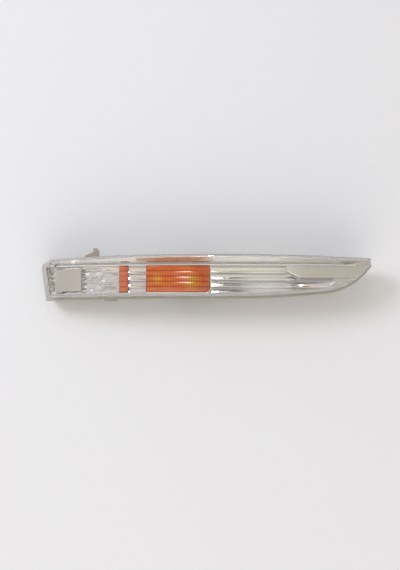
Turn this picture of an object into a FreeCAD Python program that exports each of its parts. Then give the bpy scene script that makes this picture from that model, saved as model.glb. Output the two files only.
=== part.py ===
import FreeCAD, Part
import Sketcher
import math
import os
import re

# A slim wrap-round turn signal lamp, lying on its back with the lens up. X runs along the
# lamp, Y across it, Z out through the lens. The origin is midway between the two threaded
# inserts of the rear feet, on the plane that the lamp is screwed down to.

Vector = FreeCAD.Vector
Rotation = FreeCAD.Rotation

SIZES = (
    # The lamp's outline, seen from the front
    ("lamp_length", 332.0, "length over the lens flange"),
    ("lamp_height", 45.0, "height over the lens flange"),
    ("top_arch", 4.0, "rise of the top edge above its two ends"),
    ("corner_cut_x", 9.0, "cut corner at the wrapped end, along the lamp"),
    ("corner_cut_y", 6.5, "cut corner at the wrapped end, across the lamp"),
    ("end_slant", 5.0, "lean of the wrapped end's edge"),
    ("tip_setback", 1.5, "top corner behind the pointed tip"),
    ("tip_edge", 8.0, "height of the short edge at the tip"),
    ("tip_slope_x", 4.1, "straight run under the tip, along the lamp"),
    ("tip_slope_y", 4.9, "straight run under the tip, across the lamp"),
    ("bow_radius", 65.0, "round of the bow under the tip"),
    ("bow_start", 47.0, "start of the bow, measured from the tip"),
    ("bow_rise", 5.3, "height of that start above the bottom edge"),
    ("keel_start", 156.0, "end of the straight bottom edge, measured from the tip"),
    ("keel_radius", 950.0, "slow curve between bottom edge and bow"),
    # The lamp's long curve, seen from above
    ("apex_x", 25.0, "place of the lens's highest point"),
    ("main_radius", 1600.0, "crown of the main part"),
    ("bend_x", -70.0, "place where the wrap begins"),
    ("wrap_radius", 360.0, "curve of the wrapped end"),
    ("rise_x", 88.0, "start of the bezel floor's rise, measured from the tip"),
    ("rise_radius", 190.0, "curve of that rise"),
    # Lens and seal
    ("lens_depth", 20.0, "lens from front to the back of its flange"),
    ("lens_wall", 2.0, "lens wall"),
    ("lens_round", 3.0, "round of the lens's front edge"),
    ("flange_width", 1.6, "lens flange outside the lens wall"),
    ("flange_thick", 3.0, "lens flange thickness"),
    ("gate_x", 52.0, "place of the moulding gate pip, from the tip"),
    ("gate_radius", 2.0, "radius of the pip"),
    ("gate_proud", 1.0, "pip above the flange edge"),
    ("seal_thick", 1.2, "adhesive bead thickness"),
    ("seal_inset", 0.6, "bead behind the flange edge"),
    ("seal_width", 2.2, "bead width"),
    # Housing
    ("housing_depth", 20.8, "housing from its rim to its back"),
    ("housing_wall", 2.2, "housing wall"),
    ("housing_rim", 3.0, "housing rim thickness"),
    ("housing_round", 2.5, "round of the housing's back edge"),
    ("rib_thick", 1.8, "stiffening rib thickness"),
    ("rib_proud", 3.0, "stiffening rib height"),
    ("rib_spread", 15.0, "distance between the two long ribs"),
    ("rib_pitch", 36.0, "distance between the cross ribs"),
    ("rib_end", 52.0, "end of the long ribs, measured from the tip"),
    ("hook_x", 51.0, "middle of the top hook, from the wrapped end"),
    ("hook_width", 14.0, "top hook along the lamp"),
    ("hook_catch", 5.6, "width of the hook's catch"),
    ("hook_reach", 11.4, "catch above the end height of the top edge"),
    ("hook_step", 7.6, "low shoulder of the hook above that height"),
    ("hook_bevel", 2.0, "bevel of the catch"),
    ("hook_thick", 11.0, "top hook along the lamp's depth"),
    ("lug_x", 70.5, "middle of the bottom lug, from the wrapped end"),
    ("lug_width", 13.0, "bottom lug along the lamp"),
    ("lug_reach", 1.8, "bottom lug below the rim"),
    ("foot_spacing", 240.0, "distance between the two threaded inserts"),
    ("foot_radius", 6.5, "rear foot boss"),
    ("foot_rib", 2.6, "thickness of the foot's cross ribs"),
    ("foot_spread", 13.0, "reach of the foot's ribs from its middle"),
    ("insert_radius", 3.5, "threaded insert outside radius"),
    ("insert_bore", 2.1, "threaded insert bore radius"),
    ("insert_length", 9.0, "threaded insert length"),
    ("insert_relief", 2.0, "hole past the insert"),
    ("vent_x", 79.0, "place of the breather"),
    ("vent_radius", 4.5, "breather spigot radius"),
    ("vent_bore", 2.6, "breather bore radius"),
    ("vent_length", 7.0, "breather spigot length"),
    ("membrane_thick", 0.6, "breather membrane"),
    ("vent_cap_wall", 1.5, "rubber breather cap wall"),
    ("vent_cap_gap", 0.15, "play between cap and spigot"),
    ("vent_cap_cover", 5.2, "length of the spigot under the cap"),
    # Bezel
    ("bezel_gap", 0.3, "play between bezel and lens"),
    ("bezel_wall", 1.2, "bezel wall"),
    ("bezel_floor", 1.6, "bezel floor and ledge thickness"),
    ("bezel_seat", 1.0, "width of the housing rim that carries the bezel"),
    ("ledge_depth", 7.5, "top ledge behind the lens front"),
    ("ledge_step", 1.3, "step down along the ledge"),
    ("ledge_split", 14.0, "height of that step above the lamp's middle"),
    ("ledge_edge", 9.8, "top of the fluted field above the lamp's middle"),
    ("deck_drop", 0.3, "level deck at the tip below the ledge"),
    ("shelf_start", 86.0, "start of the shelf over the upper flutes, measured from the tip"),
    ("shelf_point", 4.4, "height of the shelf's point above the lamp's middle"),
    ("shelf_run", 13.0, "slanted front of the shelf, along the lamp"),
    ("shelf_low", -1.7, "lower edge of the shelf"),
    ("shelf_taper", 15.0, "slanted back of the shelf, along the lamp"),
    ("flute_depth_edge", 13.0, "first and last flute behind the lens front"),
    ("flute_depth_mid", 17.0, "middle flute behind the lens front"),
    ("flute_crown", 0.5, "swell of each flute"),
    ("screw_spacing", 66.0, "distance between the bezel screws"),
    ("screw_mid_x", 10.0, "place of the middle bezel screw"),
    ("screw_y", 13.9, "bezel screws above the lamp's middle"),
    ("screw_radius", 1.4, "bezel screw shank"),
    ("screw_length", 14.0, "bezel screw under its head"),
    ("screw_head_radius", 3.2, "bezel screw head"),
    ("screw_head_thick", 2.2, "bezel screw head thickness"),
    ("screw_play", 0.15, "play round the shank"),
    ("screw_post", 2.6, "radius of the bezel's screw posts"),
    ("screw_post_gap", 0.3, "posts above the housing's back wall"),
    ("screw_pad", 4.6, "radius of the screw pads on the housing"),
    ("screw_pad_proud", 1.4, "height of those pads"),
    # Amber filter
    ("filter_x", -27.5, "middle of the amber block"),
    ("filter_length", 63.0, "amber block along the lamp"),
    ("filter_low", -16.9, "lower edge of the amber block"),
    ("filter_high", 9.4, "upper edge of the amber block"),
    ("filter_corner", 5.0, "rounded lower corner of the amber block"),
    ("filter_depth", 6.5, "amber block's crests behind the lens front"),
    ("filter_wall", 2.0, "amber block wall"),
    ("filter_crown", 0.7, "swell of the amber block's flutes"),
    ("filter_plate", 1.5, "base plate of the filter"),
    ("filter_lip", 2.0, "base plate outside the amber block"),
    ("filter_play", 0.3, "play round the amber block in its window"),
    ("strip_x", -82.0, "middle of the amber strip"),
    ("strip_width", 8.0, "amber strip along the lamp"),
    ("strip_depth", 9.5, "amber strip's crests behind the lens front"),
    ("window_wall", 1.4, "wall round the bezel's windows"),
    # Reflex tile
    ("tile_x", 28.0, "middle of the reflex tile, from the wrapped end"),
    ("tile_length", 26.0, "reflex tile along the lamp"),
    ("tile_low", -15.0, "lower edge of the reflex tile"),
    ("tile_high", 7.0, "upper edge of the reflex tile"),
    ("tile_depth", 8.5, "reflex tile behind the lens front"),
    ("tile_thick", 2.6, "reflex tile thickness"),
    ("tile_seat", 1.8, "wall of the tile's raised seat"),
    # Bulb and its bowl
    ("bulb_x", -20.0, "place of the bulb along the lamp"),
    ("bulb_y", -3.7, "place of the bulb across the lamp"),
    ("bulb_radius", 7.75, "bulb glass radius"),
    ("bulb_length", 37.5, "bulb from the end of its wedge to its top"),
    ("bulb_glass", 0.8, "bulb glass wall"),
    ("wedge_width", 14.0, "wedge base, along the lamp"),
    ("wedge_thick", 5.0, "wedge base thickness"),
    ("wedge_height", 13.0, "wedge base height"),
    ("wire_radius", 0.35, "lead wire radius"),
    ("filament_radius", 0.5, "filament coil radius"),
    ("filament_length", 5.0, "filament coil length"),
    ("filament_height", 11.0, "filament above the wedge"),
    ("bowl_seat", 5.0, "bowl seat above the housing's back"),
    ("bowl_depth", 11.5, "bowl depth"),
    ("bowl_wall", 1.5, "bowl wall"),
    ("bowl_mouth", 10.6, "hole for the bulb in the bowl"),
    ("bowl_radius", 52.0, "hollow of the bowl"),
    ("bowl_ring", 3.0, "width of the ring that carries the bowl"),
    # Socket
    ("socket_base", 13.5, "socket height behind its flange"),
    ("socket_flange", 4.0, "socket flange thickness"),
    ("socket_flange_radius", 16.0, "socket flange radius"),
    ("socket_radius", 13.0, "socket base radius"),
    ("barrel_radius", 9.4, "socket barrel radius"),
    ("barrel_play", 0.4, "play round the barrel"),
    ("gasket_thick", 1.5, "socket gasket thickness"),
    ("gasket_width", 4.0, "socket gasket width"),
    ("collar_length", 5.0, "housing collar behind the housing's back"),
    ("lug_radial", 2.0, "twist lug past the barrel"),
    ("lug_thick", 2.2, "twist lug thickness"),
    ("lug_side", 4.5, "twist lug width"),
    ("lug_lift", 0.3, "twist lug above the housing's back wall"),
    ("barrel_end", 0.4, "barrel past its twist lugs"),
    ("slot_floor", 4.5, "solid socket under the bulb's wedge"),
    ("slot_play", 0.2, "play round the wedge"),
    ("shroud_length", 20.0, "connector shroud past the socket base"),
    ("shroud_width", 21.0, "connector shroud width"),
    ("shroud_wall", 1.6, "connector shroud wall"),
    ("shroud_deep", 17.0, "depth of the connector's mouth"),
    ("blade_thick", 0.6, "contact sheet thickness"),
    ("blade_width", 4.0, "contact blade and finger width"),
    ("blade_lift", 0.5, "contact sheet above the bottom of the bulb's slot"),
    ("blade_reach", 9.0, "blade inside the connector's mouth"),
    ("finger_height", 10.0, "contact finger along the wedge"),
    ("latch_width", 6.0, "latch nose on the shroud"),
    ("latch_length", 5.0, "latch nose length"),
    ("latch_proud", 1.6, "latch nose height"),
    ("trim_margin", 8.0, "how far trimming solids reach past the lamp"),
)
FLUTES = 5
TWIST_LUGS = 3
FULL_TURN = 360
LEVEL_LIMIT = 60
SCREWS = (-1, 0, 1)
CROSS_RIBS = (-3, -2, -1, 0, 1, 2)

doc = FreeCAD.newDocument("turn_signal_lamp")
sheet = doc.addObject("Spreadsheet::Sheet", "Sizes")
for row, (alias, value, meaning) in enumerate(SIZES, start=1):
    sheet.set(f"A{row}", meaning)
    sheet.set(f"B{row}", str(value))
    sheet.setAlias(f"B{row}", alias)
doc.recompute()
ALIASES = {alias for alias, value, meaning in SIZES}
WORD = re.compile(r"[a-z][a-z0-9_]*")


def bound(text):
    """The expression with every size's name led by the name of its sheet."""
    return WORD.sub(lambda word: f"Sizes.{word[0]}" if word[0] in ALIASES else word[0], text)


def number(text):
    """What an expression comes to at the present sizes."""
    return float(sheet.evalExpression(bound(text)))


# Levels above the plane that the lamp is screwed to, stacked from the socket up.
COLLAR_END = "(socket_base + socket_flange + gasket_thick)"
BACK = f"({COLLAR_END} + collar_length)"
RIM = f"({BACK} + housing_depth)"
FRONT = f"({RIM} + seal_thick + lens_depth)"
BOWL_BOTTOM = f"({BACK} + bowl_seat)"
PLATE_BACK = f"({BOWL_BOTTOM} + bowl_depth)"
PLATE_FRONT = f"({PLATE_BACK} + filter_plate)"
CEILING = f"({FRONT} + trim_margin)"

# Depths behind the lens front, used all along its curve.
RIM_DEPTH = "(lens_depth + seal_thick)"
BACK_DEPTH = f"({RIM_DEPTH} + housing_depth)"

# Insets from the lamp's outline.
LENS_INNER = "(flange_width + lens_wall)"
BEZEL_OUTER = f"({LENS_INNER} + bezel_gap)"
BEZEL_INNER = f"({BEZEL_OUTER} + bezel_wall)"
CAVITY = f"({BEZEL_OUTER} + bezel_seat)"
HOUSING_OUTER = f"({CAVITY} - housing_wall)"

# Places along and across the lamp.
HALF = "(lamp_length / 2)"
TOP = "(lamp_height / 2)"
BOTTOM = "(0 - lamp_height / 2)"
TOP_END = f"({TOP} - top_arch)"
REACH = f"({HALF} + trim_margin)"
TILE_X = f"(tile_x - {HALF})"
HOOK_X = f"(hook_x - {HALF})"
LUG_X = f"(lug_x - {HALF})"
GATE_X = f"({HALF} - gate_x)"
RISE_X = f"({HALF} - rise_x)"
FLUTE_LOW = f"({BOTTOM} + {BEZEL_INNER})"
FLUTE_PITCH = f"((ledge_edge - {FLUTE_LOW}) / {FLUTES})"


def main_curve(x):
    """Height of the lens front over the main part."""
    return f"({FRONT} - main_radius + sqrt(main_radius^2 - (({x}) - apex_x)^2))"


BEND_Z = main_curve("bend_x")
WRAP_X = "(bend_x + (apex_x - bend_x) * wrap_radius / main_radius)"
WRAP_Z = f"({BEND_Z} + ({FRONT} - main_radius - {BEND_Z}) * wrap_radius / main_radius)"
RISE_Z = main_curve(RISE_X)
RISE_CENTRE_X = f"({RISE_X} + ({RISE_X} - apex_x) * rise_radius / main_radius)"
RISE_CENTRE_Z = f"({RISE_Z} + ({RISE_Z} - {FRONT} + main_radius) * rise_radius / main_radius)"


def wrap_curve(x):
    """Height of the lens front over the wrapped end."""
    return f"({WRAP_Z} + sqrt(wrap_radius^2 - (({x}) - {WRAP_X})^2))"


def front_curve(x):
    """Height of the lens front, by the side of the bend that the place lies on."""
    return wrap_curve(x) if number(x) < number("bend_x") else main_curve(x)


def sag_radius(across, along, swell):
    """Radius of an arc that swells by a given amount over a chord."""
    return f"((({across})^2 + ({along})^2) / (8 * {swell}) + {swell} / 2)"


PLANES = {
    "XY": FreeCAD.Placement(),
    "XZ": FreeCAD.Placement(Vector(), Rotation(Vector(1, 0, 0), 90)),
    "YZ": FreeCAD.Placement(Vector(), Rotation(Vector(1, 1, 1), 120)),
}


def arc_between(start, end, radius, turn):
    """An arc from start to end that turns left or right, with its own end numbers."""
    chord = end - start
    half = chord.Length / 2
    side = Vector(-chord.y, chord.x, 0).normalize() * math.sqrt(max(radius**2 - half**2, 0.0))
    centre = (start + end) / 2 + (side if turn == "left" else side * -1)
    circle = Part.Circle(centre, Vector(0, 0, 1), radius)
    first, last = (start, end) if turn == "left" else (end, start)
    angles = [math.atan2(p.y - centre.y, p.x - centre.x) for p in (first, last)]
    places = (1, 2) if turn == "left" else (2, 1)
    return Part.ArcOfCircle(circle, *angles), places


def draw(sketch, corners, arcs=None, closed=True):
    """Draw a chain of edges whose corners and radii are held by expressions."""
    arcs = arcs or {}
    points = [Vector(number(x), number(y), 0) for x, y in corners]
    edges = len(points) if closed else len(points) - 1
    places = []
    held = []
    for edge in range(edges):
        start, end = points[edge], points[(edge + 1) % len(points)]
        if edge in arcs:
            radius, turn = arcs[edge]
            geometry, ends = arc_between(start, end, number(radius), turn)
            held.append((Sketcher.Constraint("Radius", edge, number(radius)), radius))
        else:
            geometry, ends = Part.LineSegment(start, end), (1, 2)
        sketch.addGeometry(geometry)
        places.append(ends)
    for edge in range(edges if closed else edges - 1):
        following = (edge + 1) % edges
        joint = Sketcher.Constraint("Coincident", edge, places[edge][1], following, places[following][0])
        sketch.addConstraint(joint)
    pins = [(edge, places[edge][0], corners[edge]) for edge in range(edges)]
    if not closed:
        pins.append((edges - 1, places[-1][1], corners[-1]))
    for edge, place, (x, y) in pins:
        held.append((Sketcher.Constraint("DistanceX", -1, 1, edge, place, number(x)), x))
        held.append((Sketcher.Constraint("DistanceY", -1, 1, edge, place, number(y)), y))
    for constraint, text in held:
        index = sketch.addConstraint(constraint)
        sketch.setExpression(f"Constraints[{index}]", bound(text))
    return sketch


def sketch_on(plane, name, corners, arcs=None, closed=True):
    """A sketch on one of the lamp's three planes."""
    sketch = doc.addObject("Sketcher::SketchObject", name)
    sketch.Placement = PLANES[plane]
    return draw(sketch, corners, arcs, closed)


def bind(thing, **sizes):
    """Tie properties of an object to expressions; an underscore pair stands for a dot."""
    for name, text in sizes.items():
        thing.setExpression(name.replace("__", "."), bound(text))
    return thing


def place(thing, x="0", y="0", z="0"):
    return bind(thing, Placement__Base__x=x, Placement__Base__y=y, Placement__Base__z=z)


def box(name, x_range, y_range, z_range):
    """A block between two places along each axis."""
    block = doc.addObject("Part::Box", name)
    (x0, x1), (y0, y1), (z0, z1) = x_range, y_range, z_range
    bind(block, Length=f"({x1}) - ({x0})", Width=f"({y1}) - ({y0})", Height=f"({z1}) - ({z0})")
    return place(block, x0, y0, z0)


def post(name, x, y, z_range, radius):
    """A round post along Z."""
    cylinder = doc.addObject("Part::Cylinder", name)
    bind(cylinder, Radius=radius, Height=f"({z_range[1]}) - ({z_range[0]})")
    return place(cylinder, x, y, z_range[0])


def fuse(name, pieces):
    union = doc.addObject("Part::MultiFuse", name)
    union.Shapes = pieces
    return union


def common(name, pieces):
    shared = doc.addObject("Part::MultiCommon", name)
    shared.Shapes = pieces
    return shared


def cut(name, base, tools):
    """The base with one tool, or all of several, taken away."""
    result = doc.addObject("Part::Cut", name)
    result.Base = base
    result.Tool = tools[0] if len(tools) == 1 else fuse(f"{name}_tools", tools)
    return result


def extrude(name, base, length, symmetric=False):
    solid = doc.addObject("Part::Extrusion", name)
    solid.Base = base
    solid.DirMode = "Normal"
    solid.Solid = True
    solid.Symmetric = symmetric
    return bind(solid, LengthFwd=length)


def body(name, x="0", y="0", z="0"):
    return place(doc.addObject("PartDesign::Body", name), x, y, z)


def body_sketch(owner, role, name, corners, arcs=None, closed=True, offset=None):
    """A sketch on one of the body's own origin planes, set off along its normal."""
    sketch = owner.newObject("Sketcher::SketchObject", name)
    plane = next(p for p in owner.Origin.OriginFeatures if p.Role == role)
    sketch.AttachmentSupport = [(plane, "")]
    sketch.MapMode = "FlatFace"
    if offset:
        sketch.setExpression("AttachmentOffset.Base.z", bound(offset))
    return draw(sketch, corners, arcs, closed)


def pad(owner, name, sketch, length, midplane=False):
    feature = owner.newObject("PartDesign::Pad", name)
    feature.Profile = sketch
    feature.Midplane = midplane
    return bind(feature, Length=length)


def turned(name, x, y, corners, arcs=None):
    """A body turned about an upright axis from a profile of radius and height."""
    owner = body(name, x, y)
    profile = body_sketch(owner, "XZ_Plane", f"{name}_profile", corners, arcs)
    turn = owner.newObject("PartDesign::Revolution", f"{name}_turn")
    turn.Profile = profile
    turn.ReferenceAxis = (profile, ["V_Axis"])
    turn.Angle = FULL_TURN
    return owner


TOP_RADIUS = sag_radius("lamp_length - tip_setback - corner_cut_x", "0", "top_arch")


def top_edge(x):
    """Height of the outline's arched top edge at a place along the lamp."""
    middle = "((corner_cut_x - tip_setback) / 2)"
    return f"({TOP} - {TOP_RADIUS} + sqrt({TOP_RADIUS}^2 - (({x}) - {middle})^2))"


# The lamp's outline and the solids that are cut from it.
lamp_outline = sketch_on(
    "XY",
    "lamp_outline",
    [
        (f"corner_cut_x - {HALF}", TOP_END),
        (f"0 - {HALF}", f"{TOP_END} - corner_cut_y"),
        (f"end_slant - {HALF}", BOTTOM),
        (f"{HALF} - keel_start", BOTTOM),
        (f"{HALF} - bow_start", f"{BOTTOM} + bow_rise"),
        (f"{HALF} - tip_slope_x", f"{TOP_END} - tip_edge - tip_slope_y"),
        (HALF, f"{TOP_END} - tip_edge"),
        (f"{HALF} - tip_setback", TOP_END),
    ],
    {
        3: ("keel_radius", "left"),
        4: ("bow_radius", "left"),
        7: (TOP_RADIUS, "left"),
    },
)


def prism(name, inset=None):
    """The lamp's outline, drawn in by an inset, as an upright prism."""
    outline = lamp_outline
    if inset:
        outline = doc.addObject("Part::Offset2D", f"{name}_outline")
        outline.Source = lamp_outline
        outline.Join = "Intersection"
        bind(outline, Value=f"0 - {inset}")
    return extrude(name, outline, CEILING)


def slab(name, top, bottom):
    """A layer that follows the lens front from one depth behind it to another."""
    left, right = f"0 - {REACH}", REACH
    heights = (main_curve(right), BEND_Z, wrap_curve(left))
    along = (right, "bend_x", left)
    upper = [(x, f"{z} - {top}") for x, z in zip(along, heights)]
    lower = [(x, f"{z} - {bottom}") for x, z in zip(along, heights)][::-1]
    arcs = {
        0: ("main_radius", "left"),
        1: ("wrap_radius", "left"),
        3: ("wrap_radius", "right"),
        4: ("main_radius", "right"),
    }
    profile = sketch_on("XZ", f"{name}_profile", upper + lower, arcs)
    return extrude(name, profile, "lamp_height + 4 * trim_margin", symmetric=True)


def slug(name, inset, top, bottom):
    """The outline's prism between two depths behind the lens front."""
    return common(name, [prism(f"{name}_prism", inset), slab(f"{name}_layer", top, bottom)])


def rim_edges(shape, upward):
    """Numbers of the edges round the upper or lower faces of a slug."""
    ends = []
    for face in shape.Faces:
        u0, u1, v0, v1 = face.ParameterRange
        normal = face.normalAt((u0 + u1) / 2, (v0 + v1) / 2)
        if normal.z * (1 if upward else -1) > math.cos(math.radians(LEVEL_LIMIT)):
            ends.append(face)
    edges = [edge for face in ends for edge in face.Edges]
    outer = [edge for edge in edges if sum(edge.isSame(other) for other in edges) == 1]
    return [n for n, edge in enumerate(shape.Edges, 1) if any(edge.isSame(other) for other in outer)]


def rounded(name, base, radius, upward):
    """A slug with the edges of its upper or lower end rounded."""
    doc.recompute()
    fillet = doc.addObject("Part::Fillet", name)
    fillet.Base = base
    size = number(radius)
    fillet.Edges = [(edge, size, size) for edge in rim_edges(base.Shape, upward)]
    return fillet


def outer_lens():
    """Clear cover: a curved face with side walls, a foot flange and the gate pip."""
    skin_block = slug("lens_block", "flange_width", "0", "lens_depth")
    skin = rounded("lens_skin", skin_block, "lens_round", True)
    hollow_block = slug("lens_hollow_block", LENS_INNER, "lens_wall", "(lens_depth + trim_margin)")
    hollow = rounded("lens_hollow", hollow_block, "max(lens_round - lens_wall; lens_wall / 4)", True)
    flange = slug("lens_flange", None, "(lens_depth - flange_thick)", "lens_depth")
    pip_y = f"{top_edge(GATE_X)} - gate_radius + gate_proud"
    pip_post = post("gate_pip_post", GATE_X, pip_y, ("0", CEILING), "gate_radius")
    pip_layer = slab("gate_pip_layer", "(lens_depth - flange_thick)", "lens_depth")
    solid = fuse("lens_solid", [skin, flange, common("gate_pip", [pip_post, pip_layer])])
    return cut("outer_lens", solid, [hollow])


def lens_seal():
    """Bead of adhesive between the lens flange and the housing rim."""
    outside = slug("seal_outside", "seal_inset", "lens_depth", RIM_DEPTH)
    inside = prism("seal_inside", "(seal_inset + seal_width)")
    return cut("lens_seal", outside, [inside])


def fluted_air(name, lowered):
    """The space over the bezel's fluted floor, set lower by a thickness."""
    owner = body(name)
    left = f"(0 - {REACH})"
    start = wrap_curve(left)
    points = []
    for flute in range(FLUTES + 1):
        share = (2 * flute / FLUTES - 1) ** 2
        depth = f"(flute_depth_mid - (flute_depth_mid - flute_depth_edge) * {share})"
        points.append((f"(ledge_edge - {flute} * {FLUTE_PITCH})", f"({start} - {depth} - {lowered})"))
    arcs = {}
    for flute in range(FLUTES):
        step = f"({points[flute][1]} - {points[flute + 1][1]})"
        arcs[flute + 1] = (sag_radius(FLUTE_PITCH, step, "flute_crown"), "left")
    first, last = points[0], points[-1]
    top = f"({start} + 2 * trim_margin)"
    right, below = f"({first[0]} + trim_margin)", f"({last[0]} - trim_margin)"
    corners = [(right, first[1])] + points + [(below, last[1]), (below, top), (right, top)]
    profile = body_sketch(owner, "YZ_Plane", f"{name}_profile", corners, arcs, offset=left)
    rise_end = f"({RISE_CENTRE_Z} - sqrt(rise_radius^2 - ({REACH} - {RISE_CENTRE_X})^2))"
    path_corners = [(left, start), ("bend_x", BEND_Z), (RISE_X, RISE_Z), (REACH, rise_end)]
    path_arcs = {0: ("wrap_radius", "right"), 1: ("main_radius", "right"), 2: ("rise_radius", "left")}
    path = body_sketch(owner, "XZ_Plane", f"{name}_path", path_corners, path_arcs, closed=False)
    sweep = owner.newObject("PartDesign::AdditivePipe", f"{name}_sweep")
    sweep.Profile = profile
    sweep.Spine = (path, ["Edge1", "Edge2", "Edge3"])
    sweep.Mode = "Fixed"
    return owner


def filter_outline():
    """Plan of the amber block, with one rounded corner."""
    left, right = "(filter_x - filter_length / 2)", "(filter_x + filter_length / 2)"
    corners = [
        (left, "filter_high"),
        (left, "filter_low"),
        (f"{right} - filter_corner", "filter_low"),
        (right, "filter_low + filter_corner"),
        (right, "filter_high"),
    ]
    return sketch_on("XY", "filter_plan", corners, {2: ("filter_corner", "left")})


def strip_outline():
    """Plan of the narrow amber strip."""
    left, right = "(strip_x - strip_width / 2)", "(strip_x + strip_width / 2)"
    low, high = "filter_low", "filter_high"
    return sketch_on("XY", "strip_plan", [(left, high), (left, low), (right, low), (right, high)])


def plan_prism(name, plan, growth=None):
    """An upright prism over a plan, grown or shrunk all round."""
    outline = plan
    if growth:
        outline = doc.addObject("Part::Offset2D", f"{name}_outline")
        outline.Source = plan
        outline.Join = "Intersection"
        bind(outline, Value=growth)
    return extrude(name, outline, CEILING)


def screw_places():
    """Where the bezel screws stand along the lamp."""
    return [f"(screw_mid_x + {step} * screw_spacing)" for step in SCREWS]


def chrome_bezel(plans):
    """Metallised tray: stepped top ledge, fluted floor that rises to the tip, two windows."""
    air = fluted_air("bezel_air", "0")
    air_below = fluted_air("bezel_air_below", "bezel_floor")
    inside = prism("bezel_outline", BEZEL_OUTER)
    wide = f"(0 - {REACH})", REACH
    tall = ("0", CEILING)
    field_high = "(ledge_edge + bezel_wall)"
    deck_depth = "(ledge_depth + ledge_step + deck_drop)"
    field = box("bezel_field", wide, (f"{BOTTOM} - trim_margin", field_high), tall)
    field_layer = slab("bezel_field_layer", deck_depth, BACK_DEPTH)
    basin = cut("bezel_basin", common("bezel_field_block", [field, inside, field_layer]), [air])
    below_deck = slab("below_deck", f"({deck_depth} + bezel_floor)", f"({BACK_DEPTH} + trim_margin)")
    floor = cut("bezel_floor_panel", basin, [cut("below_floor", below_deck, [air_below])])
    shelf_x = f"({HALF} - shelf_start)"
    shelf_high = "(ledge_edge + bezel_wall / 2)"
    shelf_corners = [
        (shelf_x, "shelf_point"),
        (f"{shelf_x} + shelf_run", "shelf_low"),
        (REACH, "shelf_low"),
        (REACH, shelf_high),
        (f"{shelf_x} + shelf_taper", shelf_high),
    ]
    shelf_plan = sketch_on("XY", "tip_shelf_plan", shelf_corners)
    shelf_pieces = [plan_prism("tip_shelf_prism", shelf_plan), field_layer, inside, air_below]
    shelf = common("tip_shelf", shelf_pieces)
    shelf_inner = plan_prism("tip_shelf_inner", shelf_plan, "0 - bezel_wall")
    shelf_under = common("below_shelf", [shelf_inner, below_deck])
    panel = cut("bezel_panel", fuse("bezel_floor_and_shelf", [floor, shelf]), [shelf_under])
    skirt_block = slug("bezel_skirt_block", BEZEL_OUTER, "ledge_depth", RIM_DEPTH)
    skirt = cut("bezel_skirt", skirt_block, [prism("bezel_mouth", BEZEL_INNER)])
    ledge_band = box("ledge_band", wide, ("ledge_edge", TOP), tall)
    ledge_layer = slab("ledge_layer", "ledge_depth", "(flute_depth_edge + bezel_floor)")
    ledge_block = common("ledge_block", [inside, ledge_band, ledge_layer])
    tread_band = box("tread_band", wide, ("ledge_edge - trim_margin", "ledge_split"), tall)
    tread_layer = slab("tread_layer", "0", "(ledge_depth + ledge_step)")
    below_tread_band = box("below_tread_band", wide, (field_high, f"{TOP} + trim_margin"), tall)
    below_tread_layer = slab("below_tread_layer", "(ledge_depth + ledge_step + bezel_floor)", BACK_DEPTH)
    below_ledge_band = box("below_ledge_band", wide, ("ledge_split", f"{TOP} + 2 * trim_margin"), tall)
    below_ledge_layer = slab("below_ledge_layer", "(ledge_depth + bezel_floor)", RIM_DEPTH)
    spaces = [
        common("tread_space", [tread_band, tread_layer]),
        common("below_tread", [below_tread_band, below_tread_layer]),
        common("below_ledge", [below_ledge_band, below_ledge_layer]),
    ]
    ledge = cut("bezel_ledge", ledge_block, spaces)
    windows = [plan_prism(f"window_{n}", plan, "filter_play") for n, plan in enumerate(plans)]
    frames = []
    for n, plan in enumerate(plans):
        around = plan_prism(f"window_frame_{n}_prism", plan, "filter_play + window_wall")
        height = box(f"window_frame_{n}_height", wide, ("filter_low - filter_play", TOP),
                     (PLATE_FRONT, f"{FRONT} - ledge_depth"))
        block = common(f"window_frame_{n}_block", [around, height, inside])
        frames.append(cut(f"window_frame_{n}", block, [air]))
    seat_x = (f"({TILE_X} - tile_length / 2)", f"({TILE_X} + tile_length / 2)")
    seat_outer = box("tile_seat_outer", seat_x, ("tile_low", "tile_high"), tall)
    seat_inner = box("tile_seat_inner", (f"{seat_x[0]} + tile_seat", f"{seat_x[1]} - tile_seat"),
                     ("tile_low + tile_seat", "tile_high - tile_seat"), tall)
    seat_layer = slab("tile_seat_layer", "(tile_depth + tile_thick)", "(flute_depth_mid + bezel_floor)")
    seat_ring = cut("tile_seat_ring", common("tile_seat_block", [seat_outer, seat_layer]), [seat_inner])
    seat = common("tile_seat_frame", [seat_ring, air_below])
    posts = []
    for n, x in enumerate(screw_places()):
        low = f"({front_curve(x)} - {BACK_DEPTH} + housing_wall + screw_post_gap)"
        high = f"({front_curve(x)} - ledge_depth - ledge_step - bezel_floor / 2)"
        posts.append(post(f"screw_post_{n}", x, "screw_y", (low, high), "screw_post"))
    tray = fuse("bezel_tray", [panel, fuse("bezel_rim", [skirt, ledge])])
    solid = fuse("bezel_solid", [tray, seat] + frames + posts)
    bores = []
    for n, x in enumerate(screw_places()):
        low = f"({front_curve(x)} - {BACK_DEPTH} - trim_margin)"
        high = f"({front_curve(x)} - {BACK_DEPTH} - screw_pad_proud + screw_length + 2 * screw_play)"
        bores.append(post(f"screw_bore_{n}", x, "screw_y", (low, high), "screw_radius"))
    return cut("chrome_bezel", solid, windows + bores)


def fluted_roof(name, crest):
    """The space under a roof of long convex flutes, at the amber filter's front."""
    pitch = f"((filter_high - filter_low) / {FLUTES})"
    valley = f"({crest} - filter_crown)"
    ridge = [(f"(filter_high - {flute} * {pitch})", valley) for flute in range(FLUTES + 1)]
    arcs = {flute: (sag_radius(pitch, "0", "filter_crown"), "left") for flute in range(FLUTES)}
    corners = ridge + [("filter_low", "0"), ("filter_high", "0")]
    profile = sketch_on("YZ", f"{name}_profile", corners, arcs)
    return extrude(name, profile, "lamp_length + 2 * trim_margin", symmetric=True)


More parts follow.
